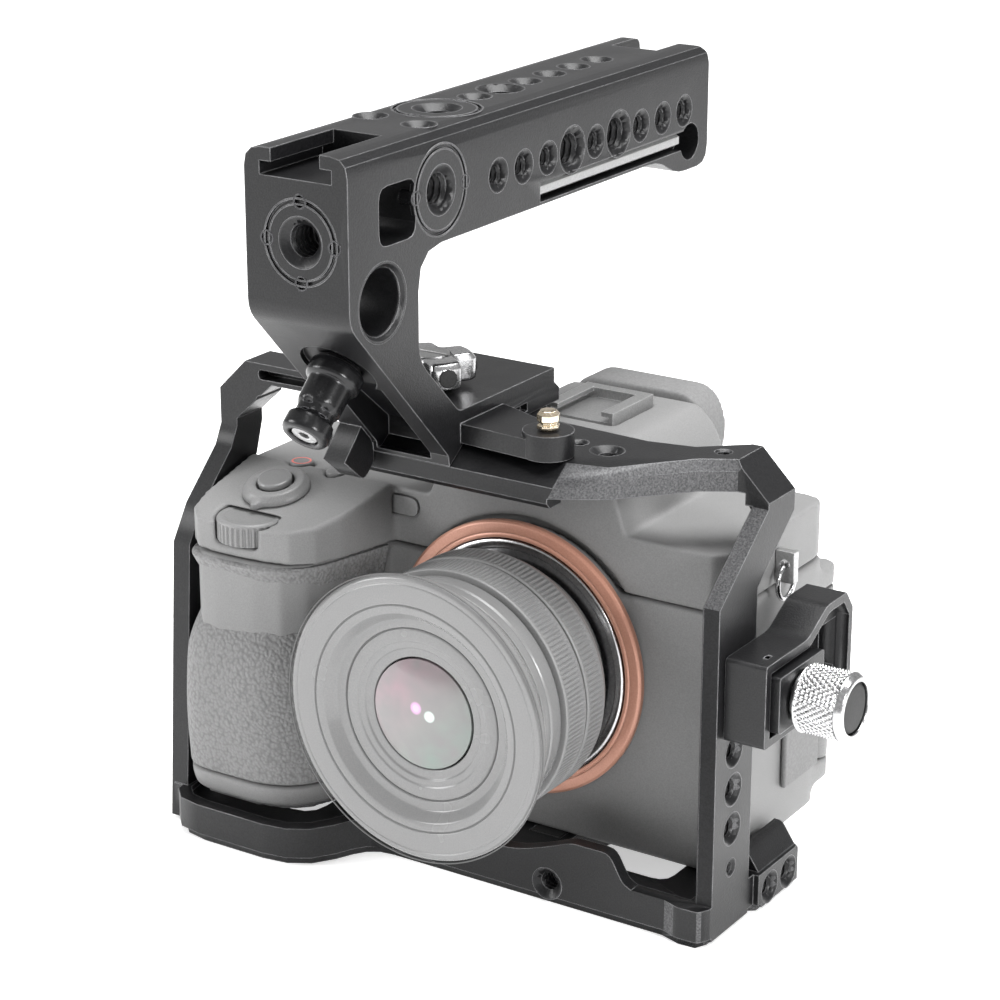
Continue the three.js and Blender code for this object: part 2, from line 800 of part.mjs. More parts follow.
// A quarter-turn star knob: four lobes round a hub, cut from one bar.
function starKnob() {
  const low = footTop + 1.3;
  const high = footTop + starHigh;
  const half = 3.9;
  const lobes = [0, 90].map((turn) => {
    const bar = toGeometry(prism("z", [
      [-starRadius, -half, 1.2],
      [starRadius, -half, 1.2],
      [starRadius, half, 1.2],
      [-starRadius, half, 1.2],
    ], low, high, 2));
    bar.rotateZ(THREE.MathUtils.degToRad(turn + starAngle));
    bar.translate(starX, starY, 0);
    return toSolid(bar);
  });
  const hub = rod("z", 6.6, low, high, [starX, starY, 0], 16);
  const bore = rod("z", 2.5 + fit, low - 1, high + 1, [starX, starY, 0]);
  const sink = rod("z", 4.4 + fit, high - 1.6 - fit, high + 1, [starX, starY, 0], 16);
  const plugs = plugTurns.map((turn) => plugSolid(turn, 2.2 + fit, starRadius - 1.8, starRadius + 1));
  return cut(join(...lobes, hub), bore, sink, ...plugs);
}

const plugTurns = [0, 90, 180, 270];

function plugSolid(turn, radius, from, to) {
  const plug = toGeometry(rod("x", radius, from, to, [0, 0, 0], 10));
  plug.rotateZ(THREE.MathUtils.degToRad(turn + starAngle));
  plug.translate(starX, starY, footTop + starHigh / 2 + 0.6);
  return toSolid(plug);
}

place("star_knob", starKnob(), bright);
plugTurns.forEach((turn, i) => {
  const name = "star_knob_plug_" + "abcd"[i];
  place(name, plugSolid(turn, 2.2, starRadius - 1.5, starRadius + 0.1), rubber);
});

function starScrew() {
  const top = footTop + starHigh;
  const profile = [
    [0, top + 0.2],
    [4.2, top + 0.2],
    [4.4, top],
    [4.4, top - 1.6],
    [2.5, top - 1.6],
    [2.5, footTop + 1.5],
    [1.8, footTop + 1.2],
    [1.8, plateTop + railHigh + 1],
    [0, plateTop + railHigh + 1],
  ];
  const slot = block([starX - 5, starX + 5], [starY - 0.6, starY + 0.6], [top - 0.8, top + 1]);
  return cut(turned("z", profile, [starX, starY, 0], 16), slot);
}

place("star_knob_screw", starScrew(), bright);
place("star_knob_washer", ring("z", 3, 6.2, footTop + fit, footTop + 1.3 - fit, [starX, starY, 0], 24),
  blackSteel);

function locatingPin() {
  const top = footLow + 5.9;
  const profile = [
    [0, plateTop + 0.6],
    [pinRadius, plateTop + 0.6],
    [pinRadius, top + fit],
    [2.7, top + fit],
    [2.7, top + 1.5],
    [2.2, top + 1.8],
    [2.7, top + 2.2],
    [2.7, top + 3.6],
    [2, top + 4.6],
    [0, top + 4.6],
  ];
  return turned("z", profile, [bossX, bossY, 0], 14);
}

place("locating_pin", locatingPin(), brass);

// The rod clamp's thumbscrew, modelled along its own axis with the seat at y = 0, then tilted.
const clampAxis = new THREE.Group();
clampAxis.position.copy(screwSeat);
clampAxis.rotation.x = THREE.MathUtils.degToRad(knobAxisTilt);
rig.add(clampAxis);

function thumbscrewKnob() {
  const out = -1.4;
  const profile = [
    [0, out],
    [6.3, out],
    [6.3, out - 3.6],
    [5.4, out - 4.2],
    [5.1, out - 12],
    [4.9, out - 12.6],
    [5.5, out - 13.4],
    [5.5, out - 17],
    [5, out - 17.8],
    [0, out - 17.8],
  ];
  const knob = turned("y", profile, [0, 0, 0], 24);
  const flutes = Array.from({ length: 6 }, (_, i) => {
    const a = (i * Math.PI) / 3;
    return rod("y", 1.7, out - 15, out - 10, [6 * Math.cos(a), 0, 6 * Math.sin(a)], 8);
  });
  const bore = rod("y", 2 + fit, out - 19, out + 1, [0, 0, 0], 12);
  const sink = rod("y", 3 + fit, out - 19, out - 14.6, [0, 0, 0], 14);
  return cut(knob, ...flutes, bore, sink);
}

place("thumbscrew_knob", thumbscrewKnob(), blackSteel, clampAxis);
place("thumbscrew_washer", ring("y", 2 + turnGap, 5.4, -1.1, -0.3, [0, 0, 0], 24), bright, clampAxis);

function thumbscrewStud() {
  const end = -18.7;
  const profile = [
    [0, 14],
    [2, 14],
    [2, end + 2.4],
    [3, end + 2.4],
    [3, end],
    [0, end],
  ];
  const socket = rod("y", 1.45, end - 1, end + 1.8, [0, 0, 0], 6);
  return cut(turned("y", profile, [0, 0, 0], 14), socket);
}

place("thumbscrew_stud", thumbscrewStud(), bright, clampAxis);

place("hex_key", rod("y", keyRadius, keyFront, keyBack - 3, [handleRight - 2.3, 0, keyZ], 6), keyGrey);

function sideScrew() {
  const head = rod("x", 3.1, -1.6, -fit, [handleLeft, handleFront + 6, handleTop - 8], 18);
  const shank = rod("x", 1.9, -1, 2.4, [handleLeft, handleFront + 6, handleTop - 8], 12);
  return join(head, shank);
}

place("handle_side_screw", sideScrew(), blackSteel);

// ---------- Cable clamp ----------

const clampIn = columnOuter + fit;
const clampFace = columnOuter + clampOut;
const jawIn = clampFace - 1.2;
const jawOut = jawIn + jawThick;
const spindle = 2;

function clampBody() {
  const side = [
    [clampFront, clampLow, 1],
    [5, clampLow, 1],
    [clampBack, clampLow + 3.5, 1],
    [clampBack, clampTop - 4.5],
    [clampBack - 3.4, clampTop],
    [1.6, clampTop, 1.5],
    [-7.6, clampShoulder, 2],
    [clampFront, clampShoulder, 1],
  ];
  const bare = prism("x", side, clampIn, clampFace);
  const pocket = prism("x", [
    [clampFront + 2.2, clampLow + 2],
    [4, clampLow + 2],
    [clampBack - 1.6, clampLow + 5],
    [clampBack - 1.6, clampTop - 6],
    [clampBack - 4.6, clampTop - 2],
    [2.6, clampTop - 2, 1],
    [-6.8, clampShoulder - 2.2, 1],
    [clampFront + 2.2, clampShoulder - 2.2],
  ], clampFace - 3.2, clampFace + 1);
  const deep = block([clampIn + 3, clampFace], [-1.5, clampBack - 2.4], [clampLow + 6, clampTop - 7]);
  const screws = clampScrewHeights.map((z) => drill("x", { r: 1.9, sink: 3.6 }, [clampFace - 3.2, clampScrewY, z], 1, 12));
  const bore = rod("x", spindle + 0.05, clampIn - 1, clampFace, [0, knobY, knobZ], 20);
  return cut(bare, pocket, deep, ...screws, bore);
}

place("clamp_body", clampBody(), anodised);
clampScrewHeights.forEach((z, i) => {
  const face = clampFace - 3.4;
  const end = columnInner + 1;
  const profile = [[0, face], [2.5, face], [2.5, face - 0.4], [1.6, face - 1.1], [1.6, end], [0, end]];
  const socket = rod("x", 1.1, face - 1.2, face + 1, [0, clampScrewY, z], 6);
  place(i ? "clamp_screw_upper" : "clamp_screw_lower",
    cut(turned("x", profile, [0, clampScrewY, z], 16), socket), blackSteel);
});

function clampJaw() {
  const plate = prism("x", [
    [clampFront + 2.8, clampLow + 3.2, 1],
    [-3.4, clampLow + 3.2, 1],
    [-3.4, clampShoulder - 3.2, 1],
    [clampFront + 2.8, clampShoulder - 3.2, 1],
  ], jawIn, jawOut);
  return cut(plate, rod("x", spindle + turnGap, jawIn - 1, jawOut + 1, [0, knobY, knobZ], 20));
}

place("clamp_jaw", clampJaw(), anodised);

function clampKnob() {
  const low = jawOut + fit;
  const high = low + knobLong;
  const profile = [
    [0, low],
    [knobRadius - 2.2, low],
    [knobRadius - 2.2, low + 1],
    [knobRadius, low + 1.6],
    [knobRadius, high - 1.4],
    [knobRadius - 0.9, high],
    [0, high],
  ];
  const cap = rod("x", knobRadius - 2.2 + fit, high - 2, high + 1, [0, knobY, knobZ], 24);
  const shaft = rod("x", spindle, clampIn + 0.6, low + 1, [0, knobY, knobZ], 20);
  return join(cut(turned("x", profile, [0, knobY, knobZ], 24), cap), shaft);
}

place("clamp_knob", clampKnob(), bright);
place("clamp_knob_cap", rod("x", knobRadius - 2.2, jawOut + knobLong - 1.4, jawOut + knobLong - 0.1,
  [0, knobY, knobZ], 24), rubber);

// ---------- Camera ----------

const gripLeft = bodyLeft - 4;
const gripFront = -45;
const gripBelly = -48; // front of the grip below its top cover
const gripRight = -43;
const mountRadius = 34;
const releaseX = -30;
const releaseZ = lensZ - 24;
const releaseRadius = 3.4;
const screenLow = cameraFoot + 6;
const screenHigh = cameraFoot + 59;
const screenAxisX = bodyRight - 3.5;
const screenAxisY = bodyBack + 4;
const knuckle = 3.4; // radius of the screen's hinge

function cameraBody() {
  const plan = [
    [bodyLeft, bodyBack, 6],
    [bodyLeft, bodyFront, 3],
    [bodyRight - 4, bodyFront, 1],
    [bodyRight, bodyFront + 5, 1],
    [bodyRight, bodyBack, 5],
  ];
  const trunk = prism("z", plan, cameraFoot, shoulderZ - 14.4);
  const collar = turned("y", [
    [0, flangeY + 2.2],
    [mountRadius - 1.4, flangeY + 2.2],
    [mountRadius - 1.4, bodyFront + 2],
    [0, bodyFront + 2],
  ], [0, 0, lensZ], 40);
  const lobe = prism("z", gripPlan(2.6, gripBelly, 9), cameraFoot + 1.5, shoulderZ - 14.4);
  const knuckles = [screenLow - 2, screenHigh - 4].map((low) => join(
    rod("z", knuckle, low, low + 5.6, [screenAxisX, screenAxisY, 0]),
    block([screenAxisX - knuckle, screenAxisX + knuckle], [bodyBack - 6, screenAxisY], [low, low + 5.6]),
  ));
  const body = join(trunk, collar, lobe, ...knuckles);
  const throat = rod("y", 21, flangeY - 3, -1.6, [0, 0, lensZ], 32);
  const bush = rod("z", 3.4, cameraFoot - 1, cameraFoot + 6, [tripodX, tripodY, 0]);
  const chipRoom = block([-18.4, 18.4], [-2, 0.4], [lensZ - 12.4, lensZ + 12.4]);
  const release = rod("y", releaseRadius + turnGap, bodyFront - 3, bodyFront + 1.2, [releaseX, 0, releaseZ]);
  return cut(body, throat, chipRoom, release, bush);
}

// Plan of the hand grip, drawn in all round by an inset.
function gripPlan(inset, front, corner) {
  return [
    [gripLeft + inset, bodyBack - 16],
    [gripLeft + inset, front + inset, corner],
    [gripRight - inset, front + 2 + inset, 12],
    [gripRight + 6 - inset, bodyFront - fit - 1, 3],
    [gripRight + 6 - inset, bodyFront + 4],
    [bodyLeft + 20, bodyBack - 16],
  ];
}

place("camera_body", cameraBody(), bodyGrey);

function gripCover() {
  const low = cameraFoot + 3;
  const high = shoulderZ - 15;
  const outer = prism("z", gripPlan(0, gripBelly, 9), low, high);
  const inner = prism("z", gripPlan(2.6 - fit, gripBelly, 9), low - 1, high + 1);
  const back = block([bodyLeft - 10, gripRight + 20], [bodyFront - fit, bodyBack + 5], [low - 1, high + 1]);
  const left = block([bodyLeft - 10, bodyLeft - fit], [bodyFront - 1, bodyBack], [low - 1, high + 1]);
  const tail = outer.intersect(left);
  return cut(join(cut(outer, back), tail), inner);
}

place("grip_cover", gripCover(), gripGrey);

const domeLow = shoulderZ - 14;
const wheelX = -62.5;
const wheelY = -37.2;
const shutterX = -62.5;
const shutterY = -27;
const gripTopTilt = 14; // degrees that the grip's top slopes down to the front

const slopeTangent = Math.tan(THREE.MathUtils.degToRad(gripTopTilt));
const shutterSeat = new THREE.Group();
shutterSeat.position.set(shutterX, shutterY, shoulderZ + 0.6 + (shutterY - bodyFront + 2) * slopeTangent);
shutterSeat.rotation.x = THREE.MathUtils.degToRad(gripTopTilt);
rig.add(shutterSeat);

function seatShape(solid) {
  const shape = toGeometry(solid);
  shutterSeat.updateMatrix();
  shape.applyMatrix4(shutterSeat.matrix);
  return toSolid(shape);
}

function topCover() {
  const plan = [
    [bodyLeft, bodyBack - 1, 6],
    [bodyLeft, bodyFront, 3],
    [bodyRight - 4, bodyFront, 1],
    [bodyRight, bodyFront + 5, 1],
    [bodyRight, bodyBack - 1, 5],
  ];
  const deck = prism("z", plan, domeLow, shoulderZ);
  const nose = prism("z", gripPlan(0, gripFront, 12), domeLow, shoulderZ + 4);
  const hump = prism("y", [
    [-humpHalf - 6, domeLow + 2],
    [humpHalf + 6, domeLow + 2],
    [humpHalf - 2, humpZ - 5, 3],
    [humpHalf - 7, humpZ, 3],
    [-humpHalf + 7, humpZ, 3],
    [-humpHalf + 2, humpZ - 5, 3],
  ], bodyFront, bodyBack);
  const slope = toGeometry(block([bodyLeft - 10, gripRight + 8], [-60, 60], [0, 40]));
  slope.rotateX(THREE.MathUtils.degToRad(gripTopTilt));
  slope.translate(0, bodyFront - 2, shoulderZ + 0.6);
  const slopeCut = toSolid(slope).intersect(
    block([bodyLeft - 10, gripRight + 10], [-70, bodyFront - 0.5], [domeLow, shoulderZ + 20]),
  );
  const noseTop = block([bodyLeft - 10, gripRight + 10], [bodyFront - 0.5, bodyBack], [shoulderZ, shoulderZ + 20]);
  const wheel = rod("z", 8.4 + turnGap, -3.2, 3.2, [wheelX, wheelY, domeLow + 6], 24);
  const cover = join(deck, cut(nose, slopeCut, noseTop), hump);
  const collar = rod("y", mountRadius + fit, bodyFront - 6, bodyFront + 1.5, [0, 0, lensZ], 40);
  const backing = rod("y", mountRadius - 1.4 + fit, bodyFront - 6, bodyFront + 2.4, [0, 0, lensZ], 40);
  const wells = [
    seatShape(rod("z", 1.9 + turnGap, -6, 8, [0, 0, 0], 16)),
    rod("z", 3.3, shoulderZ - 3.4, shoulderZ + 3, [recordX, recordY, 0], 20),
    rod("z", 2.9, shoulderZ - 3.4, shoulderZ + 3, [customX, customY, 0], 20),
    rod("z", 7.8 + turnGap, shoulderZ - 3, shoulderZ + 3, [modeX, modeY, 0], 20),
    rod("z", 6.8 + turnGap, shoulderZ - 3, shoulderZ + 3, [exposureX, exposureY, 0], 20),
    rod("x", rearRadius + turnGap, -6.8, 6.8, [rearX, rearY, rearZ], 20),
    block([-9.6, 9.6], [shoeFront, shoeBack], [humpZ - 1, humpZ + 2]),
    prism("y", [
      [lampX - 5, lampZ - 2.6, 2.4],
      [lampX + 5, lampZ - 2.6, 2.4],
      [lampX + 5, lampZ + 2.6, 2.4],
      [lampX - 5, lampZ + 2.6, 2.4],
    ], bodyFront - 1, bodyFront + 1.2),
    prism("z", [[-15, 30], [17, 30], [17, 40], [-15, 40]], domeLow + 6, humpZ - 3),
  ];
  return cut(cover, wheel, collar, backing, ...wells);
}

const recordX = -65.5;
const recordY = -13;
const customX = -54;
const customY = -14.5;
const modeX = -44;
const modeY = 5;
const exposureX = -64;
const exposureY = 8;
const rearX = -50;
const rearY = bodyBack - 2.9;
const rearZ = shoulderZ - 4.9;
const rearRadius = 3.4;
const shoeFront = 9.5;
const shoeBack = 29;
const lampX = -35;
const lampZ = shoulderZ - 4.4;

place("top_cover", topCover(), bodyGrey);

function eyecup() {
  const outer = prism("y", [
    [-18, domeLow + 10, 4],
    [18, domeLow + 10, 4],
    [20, humpZ - 6, 5],
    [15.5, humpZ + 1.6, 4],
    [-15.5, humpZ + 1.6, 4],
    [-20, humpZ - 6, 5],
  ], bodyBack + fit, bodyBack + 11);
  const window1 = prism("y", [
    [-12, domeLow + 15, 4],
    [12, domeLow + 15, 4],
    [12, humpZ - 4.5, 4],
    [-12, humpZ - 4.5, 4],
  ], bodyBack - 1, bodyBack + 12);
  return cut(outer, window1);
}

place("eyecup", eyecup(), rubber);

function hotShoe() {
  const low = humpZ - 1 + fit;
  const plate = block([-9.2, 9.2], [shoeFront + fit, shoeBack - fit], [low, low + 3.4]);
  const slot = block([-8, 8], [shoeFront - 2, shoeBack - 3], [low + 0.9, low + 2.3]);
  const mouth = block([-6, 6], [shoeFront - 2, shoeBack - 3], [low + 0.9, low + 5]);
  return cut(plate, slot, mouth);
}

place("hot_shoe", hotShoe(), bright);

function ribbed(axis, radius, from, to, centre, ribs, depth) {
  const body = rod(axis, radius, from, to, centre, ribs * 2);
  const notches = Array.from({ length: ribs }, (_, i) => {
    const a = (i * 2 * Math.PI) / ribs;
    const notch = toGeometry(block([radius - depth, radius + 1], [from - 1, to + 1], [-depth / 2, depth / 2]));
    notch.rotateY(a);
    notch.applyMatrix4(new THREE.Matrix4().makeRotationFromEuler(new THREE.Euler(...directions[axis])));
    notch.translate(...centre);
    return toSolid(notch);
  });
  return cut(body, ...notches);
}

place("front_dial", ribbed("z", 8.4, -2.8, 2.8, [wheelX, wheelY, domeLow + 6], 10, 0.7), keyGrey);
place("mode_dial", ribbed("z", 7.8, shoulderZ - 2.6, shoulderZ + 4.6, [modeX, modeY, 0], 9, 0.6), keyGrey);
place("exposure_dial",
  ribbed("z", 6.8, shoulderZ - 2.6, shoulderZ + 3.2, [exposureX, exposureY, 0], 8, 0.6), keyGrey);
place("rear_dial", ribbed("x", rearRadius, -6.4, 6.4, [rearX, rearY, rearZ], 8, 0.5), keyGrey);

place("shutter_button", join(
  rod("z", 1.9, -4.5, 2.6, [0, 0, 0], 16),
  rod("z", 4.2, 2.2, 3.8, [0, 0, 0], 20),
), keyGrey, shutterSeat);
place("power_lever", cut(
  join(
    turned("z", [[0, fit], [8.4, fit], [7, 2.8], [0, 2.8]], [0, 0, 0], 24),
    block([-1.3, 1.3], [-10.2, -6], [fit, 1.9]),
  ),
  rod("z", 4.2 + turnGap, -1, 4, [0, 0, 0], 20),
), keyGrey, shutterSeat);
place("record_button", rod("z", 2.9, shoulderZ - 2.3, shoulderZ + 0.9, [recordX, recordY, 0], 20), keyGrey);
place("custom_button", rod("z", 2.5, shoulderZ - 2.3, shoulderZ + 0.9, [customX, customY, 0], 20), keyGrey);
place("lamp_window", prism("y", [
  [lampX - 4.7, lampZ - 2.3, 2.2],
  [lampX + 4.7, lampZ - 2.3, 2.2],
  [lampX + 4.7, lampZ + 2.3, 2.2],
  [lampX - 4.7, lampZ + 2.3, 2.2],
], bodyFront - 0.2, bodyFront + 0.9), glass);

// ---------- Camera side and screen ----------

place("port_door", block([bodyRight + fit, bodyRight + 1.7], [14.9, 32.1], [20.4, 61.6]), gripGrey);

const lugHoleX = bodyRight + 2.65;
const lugHoleZ = shoulderZ - 8.2;

function strapLug() {
  const tab = block([bodyRight + fit, bodyRight + 5], [8.9, 11.1], [shoulderZ - 12.6, shoulderZ - 5]);
  return cut(tab, rod("y", 1.3, 5, 15, [lugHoleX, 0, lugHoleZ], 12));
}

place("strap_lug", strapLug(), bright);

// The strap ring passes through its lug, so it is the lug's hole that it swings in.
function strapRing() {
  const wire = 0.6;
  const radius = 4.2;
  const loop = new THREE.TorusGeometry(radius, wire, 6, 20);
  loop.rotateY(Math.PI / 2);
  loop.translate(lugHoleX, 10, lugHoleZ - 0.2 - radius);
  return toSolid(loop);
}

place("strap_ring", strapRing(), bright);

function screenPanel() {
  const panel = block([-35, screenAxisX - 5.5], [bodyBack + 0.4, bodyBack + 7.5], [screenLow, screenHigh]);
  const face = block([-31, screenAxisX - 9.5], [bodyBack + 6.7, bodyBack + 9], [screenLow + 4, screenHigh - 4]);
  return cut(panel, face);
}

place("screen_panel", screenPanel(), bodyGrey);
place("screen_glass", block([-30.6, screenAxisX - 9.9], [bodyBack + 7, bodyBack + 7.6],
  [screenLow + 4.4, screenHigh - 4.4]), glass);

function screenArm() {
  const [low, high] = [screenLow + 4, screenHigh - 4.4];
  const strip = block([screenAxisX - 5.1, screenAxisX], [bodyBack + 0.6, screenAxisY + knuckle], [low, high]);
  return join(strip, rod("z", knuckle, low, high, [screenAxisX, screenAxisY, 0]));
}

place("screen_arm", screenArm(), gripGrey);

place("lens_release_button",
  rod("y", releaseRadius, bodyFront - 1.6, bodyFront - fit, [releaseX, 0, releaseZ], 20), keyGrey);

// ---------- Lens ----------

const lensAxis = [0, 0, lensZ];

place("mount_ring", ring("y", 24, mountRadius, flangeY, flangeY + 1.8, lensAxis, 32), orange);
place("bayonet_ring",
  ring("y", 21.6, 23.6, flangeY - 0.6, flangeY + 2.2 - fit, lensAxis, 32), bright);
place("sensor", block([-18, 18], [-1.2, 0], [lensZ - 12, lensZ + 12]), glass);

const barrelBack = flangeY - fit - 0.6;
const focusFront = -44;
const focusBack = -35;
const apertureBack = -27;

place("lens_barrel", cut(turned("y", [
  [0, barrelBack],
  [25, barrelBack],
  [25.6, barrelBack - 2],
  [28.6, apertureBack + 3],
  [28.6, apertureBack + 0.3],
  [26.5, apertureBack],
  [26.5, focusFront],
  [28.8, focusFront - 0.3],
  [29.4, -52],
  [0, -52],
], lensAxis, 32), turned("y", [
  [0, barrelBack + 1],
  [16, barrelBack + 1],
  [16, -46],
  [glassRadius + 5, -53],
  [0, -53],
], lensAxis, 24)), bodyGrey);
place("aperture_ring", ring("y", 26.5 + turnGap, 30.2, focusBack + fit, apertureBack - fit, lensAxis, 32), keyGrey);
place("focus_ring", ring("y", 26.5 + turnGap, 30.2, focusFront + fit, focusBack - fit, lensAxis, 32), keyGrey);
place("lens_front_ring", turned("y", [
  [glassRadius + 5.5, -52 - fit],
  [30, -52 - fit],
  [lensRadius - 1, -57.6],
  [lensRadius, -58.6],
  [lensRadius, lensFront + 0.5],
  [lensRadius - 0.6, lensFront],
  [26.5, lensFront],
  [23.5, -57.6],
  [glassRadius + 0.8, -57.2],
  [glassRadius + 0.8, -54],
  [glassRadius + 5.5, -52 - fit],
], lensAxis, 32), bodyGrey);
place("front_element", turned("y", [
  [0, -54.2],
  [glassRadius + 0.3, -54.2],
  [glassRadius + 0.3, -56.4],
  [glassRadius - 4, -57.8],
  [0, -58.6],
], lensAxis, 32), glass);
place("inner_element", turned("y", [
  [0, -38],
  [15.6, -38],
  [15.6, -40],
  [8, -42.4],
  [0, -43],
], lensAxis, 24), glass);

export default rig;
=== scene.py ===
"""A mirrorless cinema camera in a machined half cage with a top handle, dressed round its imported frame."""

import json
import math

import bmesh
import bpy
import numpy as np
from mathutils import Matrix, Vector


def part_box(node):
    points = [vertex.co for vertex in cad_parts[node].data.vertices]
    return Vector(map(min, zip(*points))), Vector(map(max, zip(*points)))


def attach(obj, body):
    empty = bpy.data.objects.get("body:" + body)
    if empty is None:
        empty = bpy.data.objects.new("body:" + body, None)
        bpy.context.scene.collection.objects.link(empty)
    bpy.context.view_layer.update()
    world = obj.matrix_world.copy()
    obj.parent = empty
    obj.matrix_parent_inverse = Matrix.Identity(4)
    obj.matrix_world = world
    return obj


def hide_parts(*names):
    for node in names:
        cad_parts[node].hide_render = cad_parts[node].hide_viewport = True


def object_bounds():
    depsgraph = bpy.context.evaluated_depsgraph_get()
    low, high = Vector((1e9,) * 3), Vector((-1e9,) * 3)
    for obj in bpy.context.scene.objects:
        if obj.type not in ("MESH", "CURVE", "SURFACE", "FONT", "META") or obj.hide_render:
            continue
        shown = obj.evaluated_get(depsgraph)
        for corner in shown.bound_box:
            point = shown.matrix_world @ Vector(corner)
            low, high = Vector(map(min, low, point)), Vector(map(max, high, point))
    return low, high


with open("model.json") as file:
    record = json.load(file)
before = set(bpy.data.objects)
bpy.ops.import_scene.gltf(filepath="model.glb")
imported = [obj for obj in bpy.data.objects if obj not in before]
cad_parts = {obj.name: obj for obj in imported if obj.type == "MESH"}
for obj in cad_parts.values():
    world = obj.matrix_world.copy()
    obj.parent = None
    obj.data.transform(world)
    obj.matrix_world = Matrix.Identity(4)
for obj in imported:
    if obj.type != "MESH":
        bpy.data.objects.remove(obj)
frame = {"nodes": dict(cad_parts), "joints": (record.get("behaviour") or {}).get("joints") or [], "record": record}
cad_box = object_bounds()

MM = 0.001
MOUNT = {m["name"]: np.array(m["pos_m"]) / MM for m in frame["record"]["mounts"]}
JOINT = {j["name"]: j for j in frame["joints"]}


def low(node):
    """Lowest corner of a frame node, in millimetres."""
    return np.array(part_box(node)[0]) / MM


def high(node):
    """Highest corner of a frame node, in millimetres."""
    return np.array(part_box(node)[1]) / MM


def middle(node):
    """Centre of a frame node's box, in millimetres."""
    return (low(node) + high(node)) / 2


# ---------- Shader groups ----------


def new_group(name, inputs, outputs):
    """An empty shader group with named sockets: (tree, input node, output node)."""
    tree = bpy.data.node_groups.new(name, "ShaderNodeTree")
    for label, value in inputs:
        kind = "NodeSocketVector" if value is None else "NodeSocketFloat"
        socket = tree.interface.new_socket(label, in_out="INPUT", socket_type=kind)
        if value is not None:
            socket.default_value = value
    for label, kind in outputs:
        tree.interface.new_socket(label, in_out="OUTPUT", socket_type=kind)
    return tree, tree.nodes.new("NodeGroupInput"), tree.nodes.new("NodeGroupOutput")


def math_node(tree, operation, first, second, clamp=False):
    """A Math node fed by sockets or plain numbers; returns its output."""
    node = tree.nodes.new("ShaderNodeMath")
    node.operation = operation
    node.use_clamp = clamp
    for slot, value in enumerate((first, second)):
        if isinstance(value, (int, float)):
            node.inputs[slot].default_value = value
        else:
            tree.links.new(value, node.inputs[slot])
    return node.outputs[0]


def noise_node(tree, vector, scale, detail=2.0, roughness=0.5):
    """A Noise Texture fed by a vector; scale is a socket or a number. Returns its factor output."""
    node = tree.nodes.new("ShaderNodeTexNoise")
    node.inputs["Detail"].default_value = detail
    node.inputs["Roughness"].default_value = roughness
    tree.links.new(vector, node.inputs["Vector"])
    if isinstance(scale, (int, float)):
        node.inputs["Scale"].default_value = scale
    else:
        tree.links.new(scale, node.inputs["Scale"])
    return node.outputs["Fac"]


def grain_group():
    """Fine speckle for blasted or moulded surfaces, with slow clouding from handling."""
    tree, source, result = new_group(
        "surface_grain",
        [("Vector", None), ("Scale", 2500.0), ("Clouding", 0.3)],
        [("Speck", "NodeSocketFloat"), ("Cloud", "NodeSocketFloat")],
    )
    speck = noise_node(tree, source.outputs["Vector"], source.outputs["Scale"], 2.0, 0.6)
    slow = noise_node(tree, source.outputs["Vector"], 55.0, 3.0, 0.55)
    centred = math_node(tree, "SUBTRACT", slow, 0.5)
    cloud = math_node(tree, "MULTIPLY", centred, source.outputs["Clouding"])
    tree.links.new(speck, result.inputs["Speck"])
    tree.links.new(cloud, result.inputs["Cloud"])
    return tree


def edge_group():
    """Rounds the shading of sharp edges and marks them: partly where the finish is rubbed thin, partly as a
    painted highlight along them.
    """
    tree, source, result = new_group(
        "rubbed_edge_and_painted_highlight",
        [("Vector", None), ("Radius", 0.0005), ("Breakup", 1.0)],
        [("Mask", "NodeSocketFloat"), ("Normal", "NodeSocketVector")],
    )
    bevel = tree.nodes.new("ShaderNodeBevel")
    bevel.samples = 4
    tree.links.new(source.outputs["Radius"], bevel.inputs["Radius"])
    geometry = tree.nodes.new("ShaderNodeNewGeometry")
    dot = tree.nodes.new("ShaderNodeVectorMath")
    dot.operation = "DOT_PRODUCT"
    tree.links.new(bevel.outputs["Normal"], dot.inputs[0])
    tree.links.new(geometry.outputs["Normal"], dot.inputs[1])
    # Painted highlight and wear: the mask lightens sharp edges, partly as rubbed wear and partly as painted
    # highlight.
    turn = math_node(tree, "SUBTRACT", 1.0, dot.outputs["Value"])
    strong = math_node(tree, "MULTIPLY", turn, 11.0, clamp=True)
    patchy = noise_node(tree, source.outputs["Vector"], 260.0, 3.0, 0.6)
    lifted = math_node(tree, "MULTIPLY", patchy, source.outputs["Breakup"])
    mask = math_node(tree, "MULTIPLY", strong, lifted, clamp=True)
    tree.links.new(mask, result.inputs["Mask"])
    tree.links.new(bevel.outputs["Normal"], result.inputs["Normal"])
    return tree


